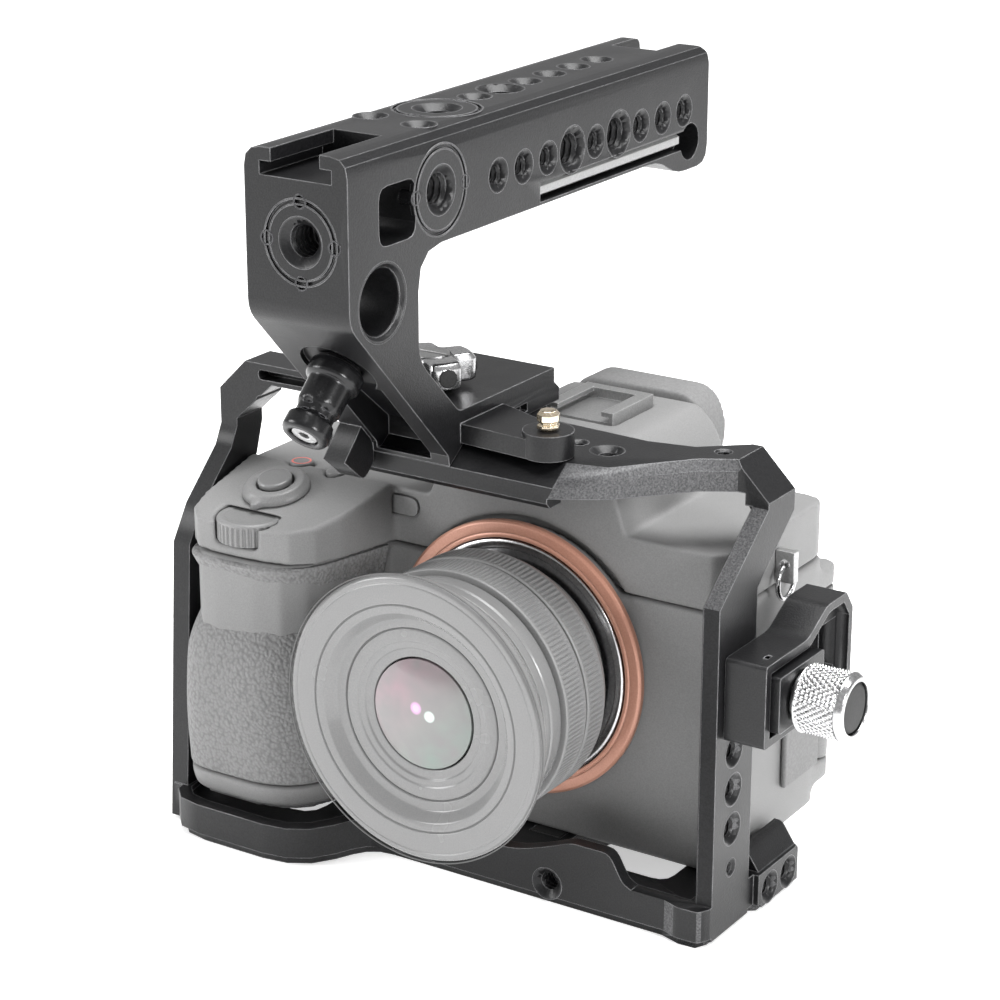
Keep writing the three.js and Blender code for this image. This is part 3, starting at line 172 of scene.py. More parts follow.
def leather_group():
    """Pebbled leather grain: cells pulled out of round by noise, with fine creases between them, which also carry
    painted shade.
    """
    tree, source, result = new_group(
        "leather_grain",
        [("Vector", None), ("Scale", 620.0), ("Pull", 0.0006)],
        [("Height", "NodeSocketFloat"), ("CreaseShade", "NodeSocketFloat")],
    )
    warp = tree.nodes.new("ShaderNodeTexNoise")
    warp.inputs["Scale"].default_value = 420.0
    tree.links.new(source.outputs["Vector"], warp.inputs["Vector"])
    shift = tree.nodes.new("ShaderNodeVectorMath")
    shift.operation = "SCALE"
    tree.links.new(warp.outputs["Color"], shift.inputs[0])
    tree.links.new(source.outputs["Pull"], shift.inputs["Scale"])
    moved = tree.nodes.new("ShaderNodeVectorMath")
    tree.links.new(source.outputs["Vector"], moved.inputs[0])
    tree.links.new(shift.outputs["Vector"], moved.inputs[1])
    cells = tree.nodes.new("ShaderNodeTexVoronoi")
    cells.feature = "SMOOTH_F1"
    cells.inputs["Smoothness"].default_value = 0.35
    tree.links.new(moved.outputs["Vector"], cells.inputs["Vector"])
    tree.links.new(source.outputs["Scale"], cells.inputs["Scale"])
    height = math_node(tree, "SUBTRACT", 1.0, cells.outputs["Distance"])
    crease = math_node(tree, "SUBTRACT", cells.outputs["Distance"], 0.42)
    deep = math_node(tree, "MULTIPLY", crease, 3.0, clamp=True)
    tree.links.new(height, result.inputs["Height"])
    tree.links.new(deep, result.inputs["CreaseShade"])
    return tree


GRAIN = grain_group()
EDGE = edge_group()
LEATHER = leather_group()


# ---------- Finishes ----------


def start_material(name):
    """A node material with its Principled shader and object coordinates: (material, tree, shader, vector)."""
    material = bpy.data.materials.new(name)
    material.use_nodes = True
    tree = material.node_tree
    shader = tree.nodes["Principled BSDF"]
    place = tree.nodes.new("ShaderNodeTexCoord")
    return material, tree, shader, place.outputs["Object"]


def use_group(tree, group, vector, **values):
    """A group node on the given coordinates, with its other inputs set by name."""
    node = tree.nodes.new("ShaderNodeGroup")
    node.node_tree = group
    tree.links.new(vector, node.inputs["Vector"])
    for label, value in values.items():
        node.inputs[label].default_value = value
    return node


def between(tree, factor, dark, light):
    """A colour between two, chosen by a 0 to 1 value."""
    mix = tree.nodes.new("ShaderNodeMix")
    mix.data_type = "RGBA"
    tree.links.new(factor, mix.inputs["Factor"])
    for socket, colour in (("A", dark), ("B", light)):
        chosen = [s for s in mix.inputs if s.name == socket and s.type == "RGBA"][0]
        if isinstance(colour, tuple):
            chosen.default_value = (*colour, 1.0)
        else:
            tree.links.new(colour, chosen)
    return [s for s in mix.outputs if s.type == "RGBA"][0]


def ramp(tree, value, start, end):
    """A value stretched so that start gives 0 and end gives 1."""
    node = tree.nodes.new("ShaderNodeMapRange")
    node.inputs["From Min"].default_value = start
    node.inputs["From Max"].default_value = end
    tree.links.new(value, node.inputs["Value"])
    return node.outputs["Result"]


def hard_finish(name, dark, light, rough, metallic=0.0, scale=2600.0, bump=0.00002, edge=0.0004,
                edge_wear_and_highlight=None, clouding=0.25, coat=0.0, shine=0.5):
    """A hard surface: speckle between two colours, clouded gloss, softened edges, and edges lightened partly as
    rubbed wear and partly as painted highlight.
    """
    material, tree, shader, place = start_material(name)
    grain = use_group(tree, GRAIN, place, Scale=scale, Clouding=clouding)
    speck = ramp(tree, grain.outputs["Speck"], 0.34, 0.68)
    colour = between(tree, speck, dark, light)
    # Edges lightened here: partly rubbed wear, partly painted highlight.
    rim = use_group(tree, EDGE, place, Radius=edge, Breakup=1.1)
    if edge_wear_and_highlight:
        colour = between(tree, rim.outputs["Mask"], colour, edge_wear_and_highlight)
    tree.links.new(colour, shader.inputs["Base Color"])
    gloss = math_node(tree, "ADD", grain.outputs["Cloud"], rough)
    tree.links.new(gloss, shader.inputs["Roughness"])
    shader.inputs["Metallic"].default_value = metallic
    shader.inputs["Coat Weight"].default_value = coat
    shader.inputs["Specular IOR Level"].default_value = shine
    raised = tree.nodes.new("ShaderNodeBump")
    raised.inputs["Strength"].default_value = 0.6
    raised.inputs["Distance"].default_value = bump
    tree.links.new(speck, raised.inputs["Height"])
    tree.links.new(rim.outputs["Normal"], raised.inputs["Normal"])
    tree.links.new(raised.outputs["Normal"], shader.inputs["Normal"])
    return material


def leather_finish(name, dark, light, scale, depth):
    """Leather-grained rubber: paler on the pebbles than in the creases, where the darkening is painted shade."""
    material, tree, shader, place = start_material(name)
    skin = use_group(tree, LEATHER, place, Scale=scale, Pull=0.0006)
    cloud = use_group(tree, GRAIN, place, Scale=3200.0, Clouding=0.2)
    # Painted shade: the creases are coloured darker than the pebbles.
    colour = between(tree, skin.outputs["CreaseShade"], light, dark)
    tree.links.new(colour, shader.inputs["Base Color"])
    gloss = math_node(tree, "ADD", cloud.outputs["Cloud"], 0.62)
    tree.links.new(gloss, shader.inputs["Roughness"])
    raised = tree.nodes.new("ShaderNodeBump")
    raised.inputs["Strength"].default_value = 0.9
    raised.inputs["Distance"].default_value = depth
    tree.links.new(skin.outputs["Height"], raised.inputs["Height"])
    tree.links.new(raised.outputs["Normal"], shader.inputs["Normal"])
    return material


# Painted reflections: coloured spots painted into the glass's colour, deep in the glass: place from the lens axis
# and radius in millimetres, and colour.
PAINTED_GLINTS = [((-0.6, 2.0), 1.1, (0.80, 0.38, 0.74)), ((3.0, 0.7), 1.0, (0.80, 1.0, 0.92))]


def painted_reflection_glass(name, rim_colour, warm, cool, centre):
    """Coated glass in a pale lens with painted reflections: a warm painted tint on one side of the axis, a cool
    one on the other, and small painted glints.
    """
    material, tree, shader, place = start_material(name)
    split = tree.nodes.new("ShaderNodeSeparateXYZ")
    tree.links.new(place, split.inputs["Vector"])
    across = math_node(tree, "SUBTRACT", split.outputs["Z"], float(centre[2] * MM))
    # Painted reflection: the colour turns from cool to warm across a slanting line through the lens axis.
    slant = math_node(tree, "SUBTRACT", across, split.outputs["X"])
    side = ramp(tree, slant, -0.012, 0.012)
    painted_reflection_tint = between(tree, side, cool, warm)
    cloud = noise_node(tree, place, 160.0, 2.0, 0.5)
    colour = between(tree, ramp(tree, cloud, 0.25, 0.75), rim_colour, painted_reflection_tint)
    flat = tree.nodes.new("ShaderNodeCombineXYZ")
    tree.links.new(split.outputs["X"], flat.inputs["X"])
    tree.links.new(split.outputs["Z"], flat.inputs["Z"])
    # Painted glints: small coloured spots at fixed places in the glass's colour.
    for (x, z), radius, painted_glint_colour in PAINTED_GLINTS:
        reach = tree.nodes.new("ShaderNodeVectorMath")
        reach.operation = "DISTANCE"
        reach.inputs[1].default_value = (x * MM, 0, float(centre[2] + z) * MM)
        tree.links.new(flat.outputs["Vector"], reach.inputs[0])
        painted_glint = ramp(tree, reach.outputs["Value"], radius * 1.5 * MM, radius * 0.6 * MM)
        colour = between(tree, painted_glint, colour, painted_glint_colour)
    tree.links.new(colour, shader.inputs["Base Color"])
    gloss = ramp(tree, cloud, -2.0, 12.0)
    tree.links.new(gloss, shader.inputs["Roughness"])
    shader.inputs["Coat Weight"].default_value = 0.6
    shader.inputs["Coat Roughness"].default_value = 0.02
    return material


def grey(value):
    """A neutral colour."""
    return (value, value, value)


# In the finishes below, the edge colour is partly rubbed wear and partly painted highlight.
ANODISED = hard_finish(
    "dark_anodised", (0.0045, 0.0045, 0.005), (0.012, 0.012, 0.013), 0.34, metallic=0.1, scale=2600.0,
    bump=0.00003, edge=0.00036, edge_wear_and_highlight=(0.4, 0.4, 0.41), clouding=0.2, coat=0.0, shine=0.34,
)
# Painted highlight: a lighter copy of the dark anodised finish for the cage's slanted front faces.
BEVEL_PAINTED_HIGHLIGHT = hard_finish(
    "bevel_painted_highlight", (0.035, 0.035, 0.037), (0.11, 0.11, 0.113), 0.5, metallic=0.3, scale=2300.0,
    bump=0.00004, edge=0.0003, edge_wear_and_highlight=(0.36, 0.36, 0.37),
)
BLACK = hard_finish(
    "blackened_steel", (0.006, 0.006, 0.0065), (0.013, 0.013, 0.014), 0.24, metallic=0.3, scale=2600.0,
    bump=0.00001, edge=0.0004, edge_wear_and_highlight=(0.14, 0.14, 0.15), clouding=0.15,
)
BRIGHT = hard_finish(
    "bright_steel", (0.4, 0.4, 0.41), grey(0.54), 0.2, metallic=1.0, scale=1500.0, bump=0.00001,
    edge=0.0003, edge_wear_and_highlight=grey(0.86),
)
SATIN = hard_finish(
    "satin_nickel", grey(0.36), grey(0.46), 0.38, metallic=0.9, scale=2200.0, bump=0.00001,
    edge=0.0004, edge_wear_and_highlight=grey(0.8),
)
BRASS = hard_finish(
    "pale_brass", (0.7, 0.58, 0.42), (0.84, 0.74, 0.58), 0.18, metallic=1.0, scale=1500.0,
    bump=0.000005, edge=0.0002, edge_wear_and_highlight=(0.95, 0.9, 0.8),
)
KEY_STEEL = hard_finish(
    "hex_key_steel", grey(0.27), grey(0.34), 0.45, metallic=0.3, scale=1800.0, bump=0.00001,
    edge=0.0002, edge_wear_and_highlight=grey(0.5),
)
RUBBER = hard_finish(
    "black_rubber", grey(0.008), grey(0.015), 0.62, metallic=0.0, scale=1800.0, bump=0.00002,
    edge=0.0003,
)
SHELL = hard_finish(
    "pale_shell", grey(0.17), (0.205, 0.205, 0.204), 0.5, metallic=0.0, scale=3400.0, bump=0.00002,
    edge=0.0007, edge_wear_and_highlight=grey(0.27), clouding=0.2, coat=0.0, shine=0.35,
)
SHELL_GLOSS = hard_finish(
    "pale_lens_barrel", grey(0.16), grey(0.18), 0.26, metallic=0.0, scale=3000.0, bump=0.000003,
    edge=0.0003, edge_wear_and_highlight=grey(0.3), clouding=0.1, coat=0.25,
)
CONTROL = hard_finish(
    "pale_controls", grey(0.16), grey(0.195), 0.4, metallic=0.0, scale=3000.0, bump=0.00001,
    edge=0.0003, edge_wear_and_highlight=grey(0.28), clouding=0.2,
)
LINE = hard_finish(
    "dark_step_line", grey(0.075), grey(0.095), 0.6, metallic=0.0, scale=2400.0, bump=0.000002,
    edge=0.0001,
)
EYE_RUBBER = hard_finish(
    "pale_rubber", grey(0.15), grey(0.185), 0.66, metallic=0.0, scale=1600.0, bump=0.00003,
    edge=0.0008, clouding=0.2, coat=0.0, shine=0.3,
)
LEATHER_GRIP = leather_finish("grip_leather", grey(0.135), grey(0.18), scale=1150.0, depth=0.00035)
ORANGE = hard_finish(
    "mount_orange", (0.46, 0.22, 0.155), (0.52, 0.265, 0.19), 0.36, metallic=0.25, scale=2600.0,
    bump=0.00001, edge=0.0003, edge_wear_and_highlight=(0.74, 0.48, 0.38),
)
RECORD_RED = hard_finish(
    "record_ring_red", (0.66, 0.14, 0.12), (0.74, 0.2, 0.17), 0.4, metallic=0.0, scale=2600.0,
    bump=0.00001, edge=0.0002,
)
LAMP = hard_finish(
    "lamp_lens", grey(0.21), grey(0.24), 0.16, metallic=0.0, scale=1200.0, bump=0.000002, edge=0.0003,
    clouding=0.1, coat=0.5,
)
MARK_WHITE = hard_finish(
    "mark_white", grey(0.72), grey(0.8), 0.55, metallic=0.0, scale=2400.0, bump=0.000005, edge=0.0001,
)
SCREEN_GLASS = hard_finish(
    "dark_screen_glass", (0.01, 0.01, 0.012), (0.014, 0.014, 0.016), 0.08, metallic=0.0, scale=900.0,
    bump=0.000001, edge=0.0002, clouding=0.05, coat=0.8,
)
PAINTED_REFLECTION_GLASS = painted_reflection_glass("painted_reflection_glass", (0.165, 0.160, 0.160), (0.25, 0.165, 0.19), (0.150, 0.20, 0.175),
                      middle("mount_ring"))


# ---------- Surfaces ----------

AXES = {
    "x": np.array([[0, 1, 0], [0, 0, 1], [1, 0, 0]], float),
    "y": np.array([[0, 0, 1], [1, 0, 0], [0, 1, 0]], float),
    "z": np.eye(3),
}


def tilted(direction):
    """Rows across, across and along a direction, for a turned piece on a slanting axis."""
    along = np.asarray(direction, float)
    along = along / np.linalg.norm(along)
    first = np.cross(along, [1.0, 0.0, 0.0])
    first = first / np.linalg.norm(first)
    return np.stack([first, np.cross(along, first), along])


def softened(corners, size, steps=4):
    """A closed outline whose corners are quadratic curves that start and end size from the corner."""
    p = np.asarray(corners, float)
    back, ahead = np.roll(p, 1, 0) - p, np.roll(p, -1, 0) - p
    back_long = np.linalg.norm(back, axis=1, keepdims=True)
    ahead_long = np.linalg.norm(ahead, axis=1, keepdims=True)
    reach = np.broadcast_to(np.asarray(size, float).reshape(-1, 1), (len(p), 1))
    start = p + back / back_long * np.minimum(reach, back_long * 0.48)
    end = p + ahead / ahead_long * np.minimum(reach, ahead_long * 0.48)
    t = np.linspace(0, 1, steps + 1)[None, :, None]
    curve = (1 - t) ** 2 * start[:, None] + 2 * t * (1 - t) * p[:, None] + t**2 * end[:, None]
    return curve.reshape(-1, 2)


def rows_between(outline, longest):
    """The outline with points added so that no straight run is longer than longest."""
    p = np.asarray(outline, float)
    step = np.linalg.norm(np.roll(p, -1, 0) - p, axis=1)
    at = np.concatenate([[0], np.cumsum(step)])
    wanted = np.concatenate([np.linspace(a, b, max(2, int(np.ceil((b - a) / longest)) + 1))[:-1]
                             for a, b in zip(at[:-1], at[1:]) if b - a > 1e-9])
    closed = np.vstack([p, p[:1]])
    return np.stack([np.interp(wanted, at, closed[:, k]) for k in (0, 1)], -1)


def turned(profile, centre, axis, sides=96, wave=None):
    """A closed profile of (radius, height) carried round an axis: r cos a and r sin a across, height along.

    wave(a, r, h) gives the radius where it changes with the angle a."""
    basis = AXES[axis] if isinstance(axis, str) else tilted(axis)
    a = np.linspace(0, 2 * math.pi, sides, endpoint=False)[None, :]
    p = np.asarray(profile, float)
    r = p[:, :1] + 0 * a
    h = p[:, 1:] + 0 * a
    if wave:
        r = wave(a, r, h)
    local = np.stack([r * np.cos(a), r * np.sin(a), h], -1)
    return local @ basis + np.asarray(centre, float)


def lathe(corners, centre, axis, size=0.25, sides=96, wave=None, longest=0.0, steps=3):
    """A turned grid from profile corners, rounded by size except where the profile meets the axis."""
    p = np.asarray(corners, float)
    outline = softened(p, np.where(p[:, 0] < 1e-6, 0.0, size), steps)
    if longest:
        outline = rows_between(outline, longest)
    return turned(outline, centre, axis, sides, wave)


def grid_faces(rows, columns, wrap_rows, wrap_columns):
    """Quads that join each grid point to the next along its row and the same pair in the next row."""
    i = np.arange(rows if wrap_rows else rows - 1)[:, None]
    j = np.arange(columns if wrap_columns else columns - 1)[None, :]
    up, right = (i + 1) % rows, (j + 1) % columns
    corners = [i * columns + j, i * columns + right, up * columns + right, up * columns + j]
    return np.stack(corners, -1).reshape(-1, 4)


def add_piece(name, grids, body, finish, hides=(), sharp=34.0, wrap=(True, True)):
    """One piece from grids of points in millimetres, doubles merged and faces turned outwards."""
    points, faces, start = [], [], 0
    for grid in grids:
        rows, columns = grid.shape[:2]
        points.append(grid.reshape(-1, 3) * MM)
        faces.append(grid_faces(rows, columns, *wrap) + start)
        start += rows * columns
    mesh = bpy.data.meshes.new(name)
    mesh.from_pydata(np.concatenate(points), [], np.concatenate(faces).tolist())
    work = bmesh.new()
    work.from_mesh(mesh)
    bmesh.ops.remove_doubles(work, verts=work.verts, dist=2e-7)
    bmesh.ops.holes_fill(work, edges=work.edges, sides=0)
    bmesh.ops.recalc_face_normals(work, faces=work.faces)
    work.to_mesh(mesh)
    work.free()
    return settle(name, mesh, body, finish, hides, sharp)


def settle(name, mesh, body, finish, hides, sharp):
    """Puts a finished mesh in the scene, shaded smooth up to an angle, on its body."""
    mesh.materials.clear()
    mesh.materials.append(finish)
    mesh.shade_smooth()
    mesh.set_sharp_from_angle(angle=math.radians(sharp))
    piece = bpy.data.objects.new(name, mesh)
    bpy.context.scene.collection.objects.link(piece)
    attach(piece, body)
    if hides:
        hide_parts(*hides)
    return piece


def body_of(node):
    """The name of the frame body that holds a node."""
    bodies = frame["record"]["behaviour"]["bodies"]
    return next(body for body, nodes in bodies.items() if node in nodes)


def merged_copy(node, name):
    """A copy of a frame node's mesh with its loose triangles joined and its flat areas made single faces."""
    mesh = frame["nodes"][node].data.copy()
    mesh.name = name
    work = bmesh.new()
    work.from_mesh(mesh)
    bmesh.ops.remove_doubles(work, verts=work.verts, dist=2e-6)
    bmesh.ops.dissolve_limit(work, angle_limit=math.radians(0.7), verts=work.verts, edges=work.edges)
    work.to_mesh(mesh)
    work.free()
    return mesh


def machined(node, name, finish, painted_highlight_finish=None, sharp=34.0):
    """A frame node with crisp edges; the slanted front faces of its right half can have a second, lighter finish,
    a painted highlight.
    """
    mesh = merged_copy(node, name)
    piece = settle(name, mesh, body_of(node), finish, [node], sharp)
    if painted_highlight_finish:
        mesh.materials.append(painted_highlight_finish)
        normals = np.zeros(len(mesh.polygons) * 3)
        mesh.polygons.foreach_get("normal", normals)
        normals = normals.reshape(-1, 3)
        centres = np.zeros(len(mesh.polygons) * 3)
        mesh.polygons.foreach_get("center", centres)
        # Painted highlight: the slanted faces facing front on the right half get the lighter finish.
        right = centres.reshape(-1, 3)[:, 0] > 20 * MM
        forward = right & (normals[:, 1] < -0.5) & (np.abs(normals).max(1) < 0.93)
        mesh.polygons.foreach_set("material_index", forward.astype(np.int32))
    even = piece.modifiers.new("even_shading", "WEIGHTED_NORMAL")
    even.keep_sharp = True
    even.weight = 100
    return piece


def rounded_copy(node, name, finish, width, segments=3, angle=40.0):
    """A frame node whose edges are rounded by width."""
    mesh = merged_copy(node, name)
    piece = settle(name, mesh, body_of(node), finish, [node], angle)
    edges = piece.modifiers.new("edges", "BEVEL")
    edges.width = width * MM
    edges.segments = segments
    edges.limit_method = "ANGLE"
    edges.angle_limit = math.radians(angle)
    edges.harden_normals = True
    return piece


def moulded(node, name, finish, voxel, passes):
    """A frame node remade as an even skin of voxels and relaxed, so that every edge is moulded round."""
    mesh = merged_copy(node, name)
    piece = settle(name, mesh, body_of(node), finish, [node], 180.0)
    skin = piece.modifiers.new("skin", "REMESH")
    skin.mode = "VOXEL"
    skin.voxel_size = voxel * MM
    skin.use_smooth_shade = True
    relax = piece.modifiers.new("relax", "SMOOTH")
    relax.factor = 0.5
    relax.iterations = passes
    return piece


# ---------- Threaded holes and locating sockets ----------

QUARTER = {"bore": 2.44, "sink": 3.72, "pitch": 1.27}  # quarter-inch thread, millimetres
THREE_EIGHTHS = {"bore": 3.98, "sink": 5.42, "pitch": 1.59}
SMALL = {"bore": 1.42, "sink": 2.0, "pitch": 0.8}
PROUD = 0.03  # how far a hole's rim stands off the face
BASE_FRONT = -32.3  # outer face of the cage's front wall
OPEN_ENDS = (False, True)  # a grid closed round its columns, its first and last rows left apart


def triangle(x):
    """A wave that runs 0, 1, 0 over each unit of x."""
    return 1 - np.abs(2 * (x % 1.0) - 1)


def threaded_hole(centre, axis, size, depth):
    """A countersunk thread. In the bore the radius is less by a triangle wave of height, one pitch a turn."""
    bore, sink, pitch = size["bore"], size["sink"], size["pitch"]
    rim = sink + 0.4
    mouth = -(sink - bore)
    thread = np.arange(mouth, -depth, -pitch / 9)
    profile = np.vstack([
        [[rim, -0.2], [rim, PROUD], [sink + 0.12, PROUD], [sink, PROUD - 0.06]],
        np.stack([np.full(len(thread), bore), thread], -1),
        [[0, -depth], [0, -depth - 0.2], [rim, -depth - 0.2]],
    ])

    def cut(a, r, h):
        tooth = triangle(h / pitch + a / (2 * math.pi)) * 0.36 * pitch
        return np.where(np.abs(r - bore) < 1e-6, r - tooth, r)

    return turned(profile, centre, axis, 48, cut)


def ring_groove(centre, axis, radius):
    """A narrow groove turned in a face round a threaded hole."""
    wall, rim = 0.42, 0.85
    return lathe([
        [radius - rim, -1.1], [radius - rim, PROUD], [radius - wall, PROUD], [radius - wall, -0.75],
        [radius + wall, -0.75], [radius + wall, PROUD], [radius + rim, PROUD], [radius + rim, -1.1],
    ], centre, axis, 0.05, 96)


def pin_socket(centre, axis, radius=1.32, depth=3.4):
    """A small plain hole for a locating pin."""
    rim = radius + 0.42
    return lathe([[rim, -0.3], [rim, 2 * PROUD], [radius, 2 * PROUD], [radius, -depth], [0, -depth],
                  [0, -depth - 0.2], [rim, -depth - 0.2]], centre, axis, 0.06, 28)


def along(start, step, spacing, count, first):
    """Places spaced along a row axis, counted so that number first falls on start."""
    places = np.tile(np.asarray(start, float), (count, 1))
    places[:, step] += (np.arange(count) - first) * spacing
    return places


def handle_threads():
    """Rows of threads along the handle's side and top, and the three ringed sockets."""
    side = along(MOUNT["handle_side_holes"], 1, 10.5, 9, 3)
    top = along(MOUNT["handle_top_holes"], 1, 10.7, 6, 2)
    front, flank = MOUNT["handle_front_socket"], MOUNT["handle_side_socket"]
    ringed = np.array([top[0, 0], flank[1] + 18.5, top[0, 2]])
    forward = (0, -1, 0)
    add_piece("handle_side_threads", [
        threaded_hole(place, "x", THREE_EIGHTHS if k in (3, 5) else QUARTER, 7.5)
        for k, place in enumerate(side)
    ], "rig", ANODISED)
    add_piece("handle_top_threads", [
        *[threaded_hole(place, "z", THREE_EIGHTHS if k == 1 else QUARTER, 7.5)
          for k, place in enumerate(top)],
        threaded_hole(ringed + [-7.6, -14.9, 0], "z", QUARTER, 7.5),
        threaded_hole(ringed + [6.4, -16.4, 0], "z", QUARTER, 7.5),
    ], "rig", ANODISED)
    add_piece("handle_sockets", [
        threaded_hole(front, forward, THREE_EIGHTHS, 9.5),
        ring_groove(front, forward, 8.9),
        threaded_hole(flank, "x", THREE_EIGHTHS, 9.5),
        ring_groove(flank, "x", 9.6),
        threaded_hole(ringed, "z", THREE_EIGHTHS, 8.5),
        ring_groove(ringed, "z", 9.6),
    ], "rig", ANODISED)
    add_piece("handle_pin_sockets", [
        *[pin_socket(front + 8.9 * np.array([math.sin(t), 0, math.cos(t)]), forward)
          for t in np.arange(4) * math.pi / 2],
        *[pin_socket(flank + [0, s * 9.6, 0], "x") for s in (-1, 1)],
        *[pin_socket(ringed + [0, s * 9.6, 0], "z") for s in (-1, 1)],
    ], "rig", BLACK)


def cage_threads():
    """Threads up the column, in the base's ear, in the top plate and in the front wall."""
    column = along(MOUNT["column_holes"], 2, 9.7, 4, 1.5)
    column[:, 2] = [16.5, 26.2, 36.0, 45.5]
    ear = along(MOUNT["base_ear_holes"], 1, 9.2, 2, 0.5)
    pin = middle("locating_pin")
    plate = high("rail")[2] - 3.6
    add_piece("cage_threads", [
        *[threaded_hole(place, "x", QUARTER if k else SMALL, 5.5) for k, place in enumerate(column)],
        *[threaded_hole(place, "x", QUARTER, 5.2) for place in ear],
        threaded_hole([pin[0] + 9.2, pin[1] + 10.3, plate], "z", QUARTER, 6.6),
        threaded_hole([pin[0] + 0.8, pin[1] + 11.9, plate], "z", SMALL, 6.6),
        threaded_hole([18, BASE_FRONT, 5.2], (0, -1, 0), QUARTER, 6),
    ], "rig", ANODISED)


def rod_lining():
    """The bored hole through the handle for a 15 mm rod, with a chamfer at each end."""
    bore, mouth, rim = 7.45, 8.5, 9.1
    wide = 27.0
    add_piece("rod_hole_lining", [lathe([
        [rim, -0.4], [rim, PROUD], [mouth, PROUD], [bore, -1.1], [bore, 1.1 - wide], [mouth, -wide - PROUD],
        [rim, -wide - PROUD], [rim, 0.4 - wide],
    ], MOUNT["rod_hole"], "x", 0.12, 96)], "rig", ANODISED)


def axis_mark():
    """The optical axis sign on the cage's front wall: a ring on an upright stroke."""
    centre = np.array([1.6, BASE_FRONT, 12.4])
    ring = lathe([[0.95, 0], [1.3, 0], [1.3, 0.06], [0.95, 0.06]], centre, (0, -1, 0), 0.02, 40)
    half, raised, sunk = 0.14, -0.06, 0.1
    section = np.array([(-half, raised), (half, raised), (half, sunk), (-half, sunk)])
    strokes = []
    for start, end in ((1.3, 3.2), (-3.2, -1.3)):
        flat = np.zeros((4, 2, 3))
        flat[:, :, 0] = section[:, :1]
        flat[:, :, 1] = section[:, 1:]
        flat[:, 0, 2], flat[:, 1, 2] = start, end
        strokes.append(flat.transpose(1, 0, 2) + centre)
    add_piece("optical_axis_ring", [ring], "rig", MARK_WHITE)
    add_piece("optical_axis_stroke", strokes, "rig", MARK_WHITE, wrap=OPEN_ENDS)


# ---------- Cage and handle ----------

# The cage's slanted front faces on its right half get a painted highlight.
machined("cage_frame", "half_cage", ANODISED, BEVEL_PAINTED_HIGHLIGHT)
machined("handle_body", "top_handle", ANODISED)
machined("rail", "handle_rail", ANODISED)
machined("rail_screw_front", "rail_screw_a", BLACK)
machined("rail_screw_back", "rail_screw_b", BLACK)
machined("foot_pad_left", "foot_pad_a", RUBBER)
machined("foot_pad_right", "foot_pad_b", RUBBER)
machined("tripod_screw", "slotted_tripod_screw", SATIN)
machined("handle_side_screw", "side_screw", BLACK)
rounded_copy("hex_key", "stowed_hex_key", KEY_STEEL, 0.15, 2)
handle_threads()
cage_threads()
rod_lining()
axis_mark()


# ---------- Star knob, locating pin and rod clamp ----------


def star_knob():
    """Four lobes: two crossed bars as superellipses of power 8, joined by a power mean, on a round hub."""
    base, top = low("star_knob")[2], high("star_knob")[2]
    centre = middle("star_knob_washer") * [1, 1, 0]
    lobe = middle("star_knob_plug_a") - centre
    turn = math.atan2(lobe[1], lobe[0])
    length, half = 10.3, 3.9

    def bar(c, s):
        return ((np.abs(c) / length) ** 8 + (np.abs(s) / half) ** 8) ** (-1 / 8)

    def lobes(a, r, h):
        c, s = np.cos(a - turn), np.sin(a - turn)
        star = (bar(c, s) ** 7 + bar(s, c) ** 7) ** (1 / 7)
        blend = np.clip((r - 0.5) / 0.2, 0, 1)
        return r * (length * (1 - blend) + np.minimum(star, length) * blend)

    profile = [[0, base], [0.9, base], [1.0, base + 0.7], [1.0, top - 1.4], [0.93, top - 0.4], [0.86, top],
               [0.48, top], [0.45, top - 0.2], [0.45, top - 1.5], [0, top - 1.5]]
    outline = softened(profile, np.where(np.array(profile)[:, 0] < 1e-6, 0, 0.12), 3)
    add_piece("star_knob_body", [turned(outline, centre, "z", 192, lobes)], "star", BRIGHT, ["star_knob"], 40)
    for mark in "abcd":
        machined(f"star_knob_plug_{mark}", f"star_plug_{mark}", RUBBER)
    machined("star_knob_screw", "star_screw", SATIN)
    machined("star_knob_washer", "star_washer_ring", BLACK)


def locating_pin():
    """A spring pin whose pale brass head is planed to eight flats."""
    base, top = low("locating_pin")[2], high("locating_pin")[2]
    centre = middle("locating_pin") * [1, 1, 0]
    stem, neck, brim = 1.6, 2.1, 2.65
    profile = [[0, base], [stem, base], [stem, top - 4.3], [brim, top - 4.2], [brim, top - 3.4],
               [neck, top - 3.0], [neck, top - 2.7], [brim, top - 2.4], [brim, top - 0.9], [1.9, top],
               [0, top]]
    head = lathe(profile, centre, "z", 0.12, 8)
    add_piece("pin_head", [head], "pin", BRASS, ["locating_pin"], 12)


def rod_clamp():
    """The black thumbscrew: collar, barrel, fluted waist and end flange round a socket screw."""
    joint = JOINT["rod_screw_turn"]
    seat, axis = np.array(joint["pos_m"]) / MM, joint["axis"]

    def fluted(a, r, h):
        window = np.exp(-(((h - 13.6) / 1.5) ** 2))
        return r - 1.25 * window * np.maximum(np.cos(6 * a), 0) * (r > 4.5)

    profile = [[0, 1.4], [6.3, 1.4], [6.3, 4.8], [5.7, 5.4], [5.15, 5.6], [5.1, 11.6], [4.4, 12.6],
               [4.4, 14.2], [5.5, 15.2], [5.5, 18.4], [4.9, 19.2], [3.5, 19.2], [3.3, 18.8],
               [3.3, 16.4], [0, 16.4]]
    body = lathe(profile, seat, axis, 0.4, 120, fluted, 0.4)
    add_piece("thumbscrew_body", [body], "rod_screw", BLACK, ["thumbscrew_knob"])
    machined("thumbscrew_stud", "thumbscrew_socket_screw", SATIN)
    machined("thumbscrew_washer", "thumbscrew_washer_ring", BLACK)


star_knob()
locating_pin()
rod_clamp()


# ---------- Cable clamp ----------


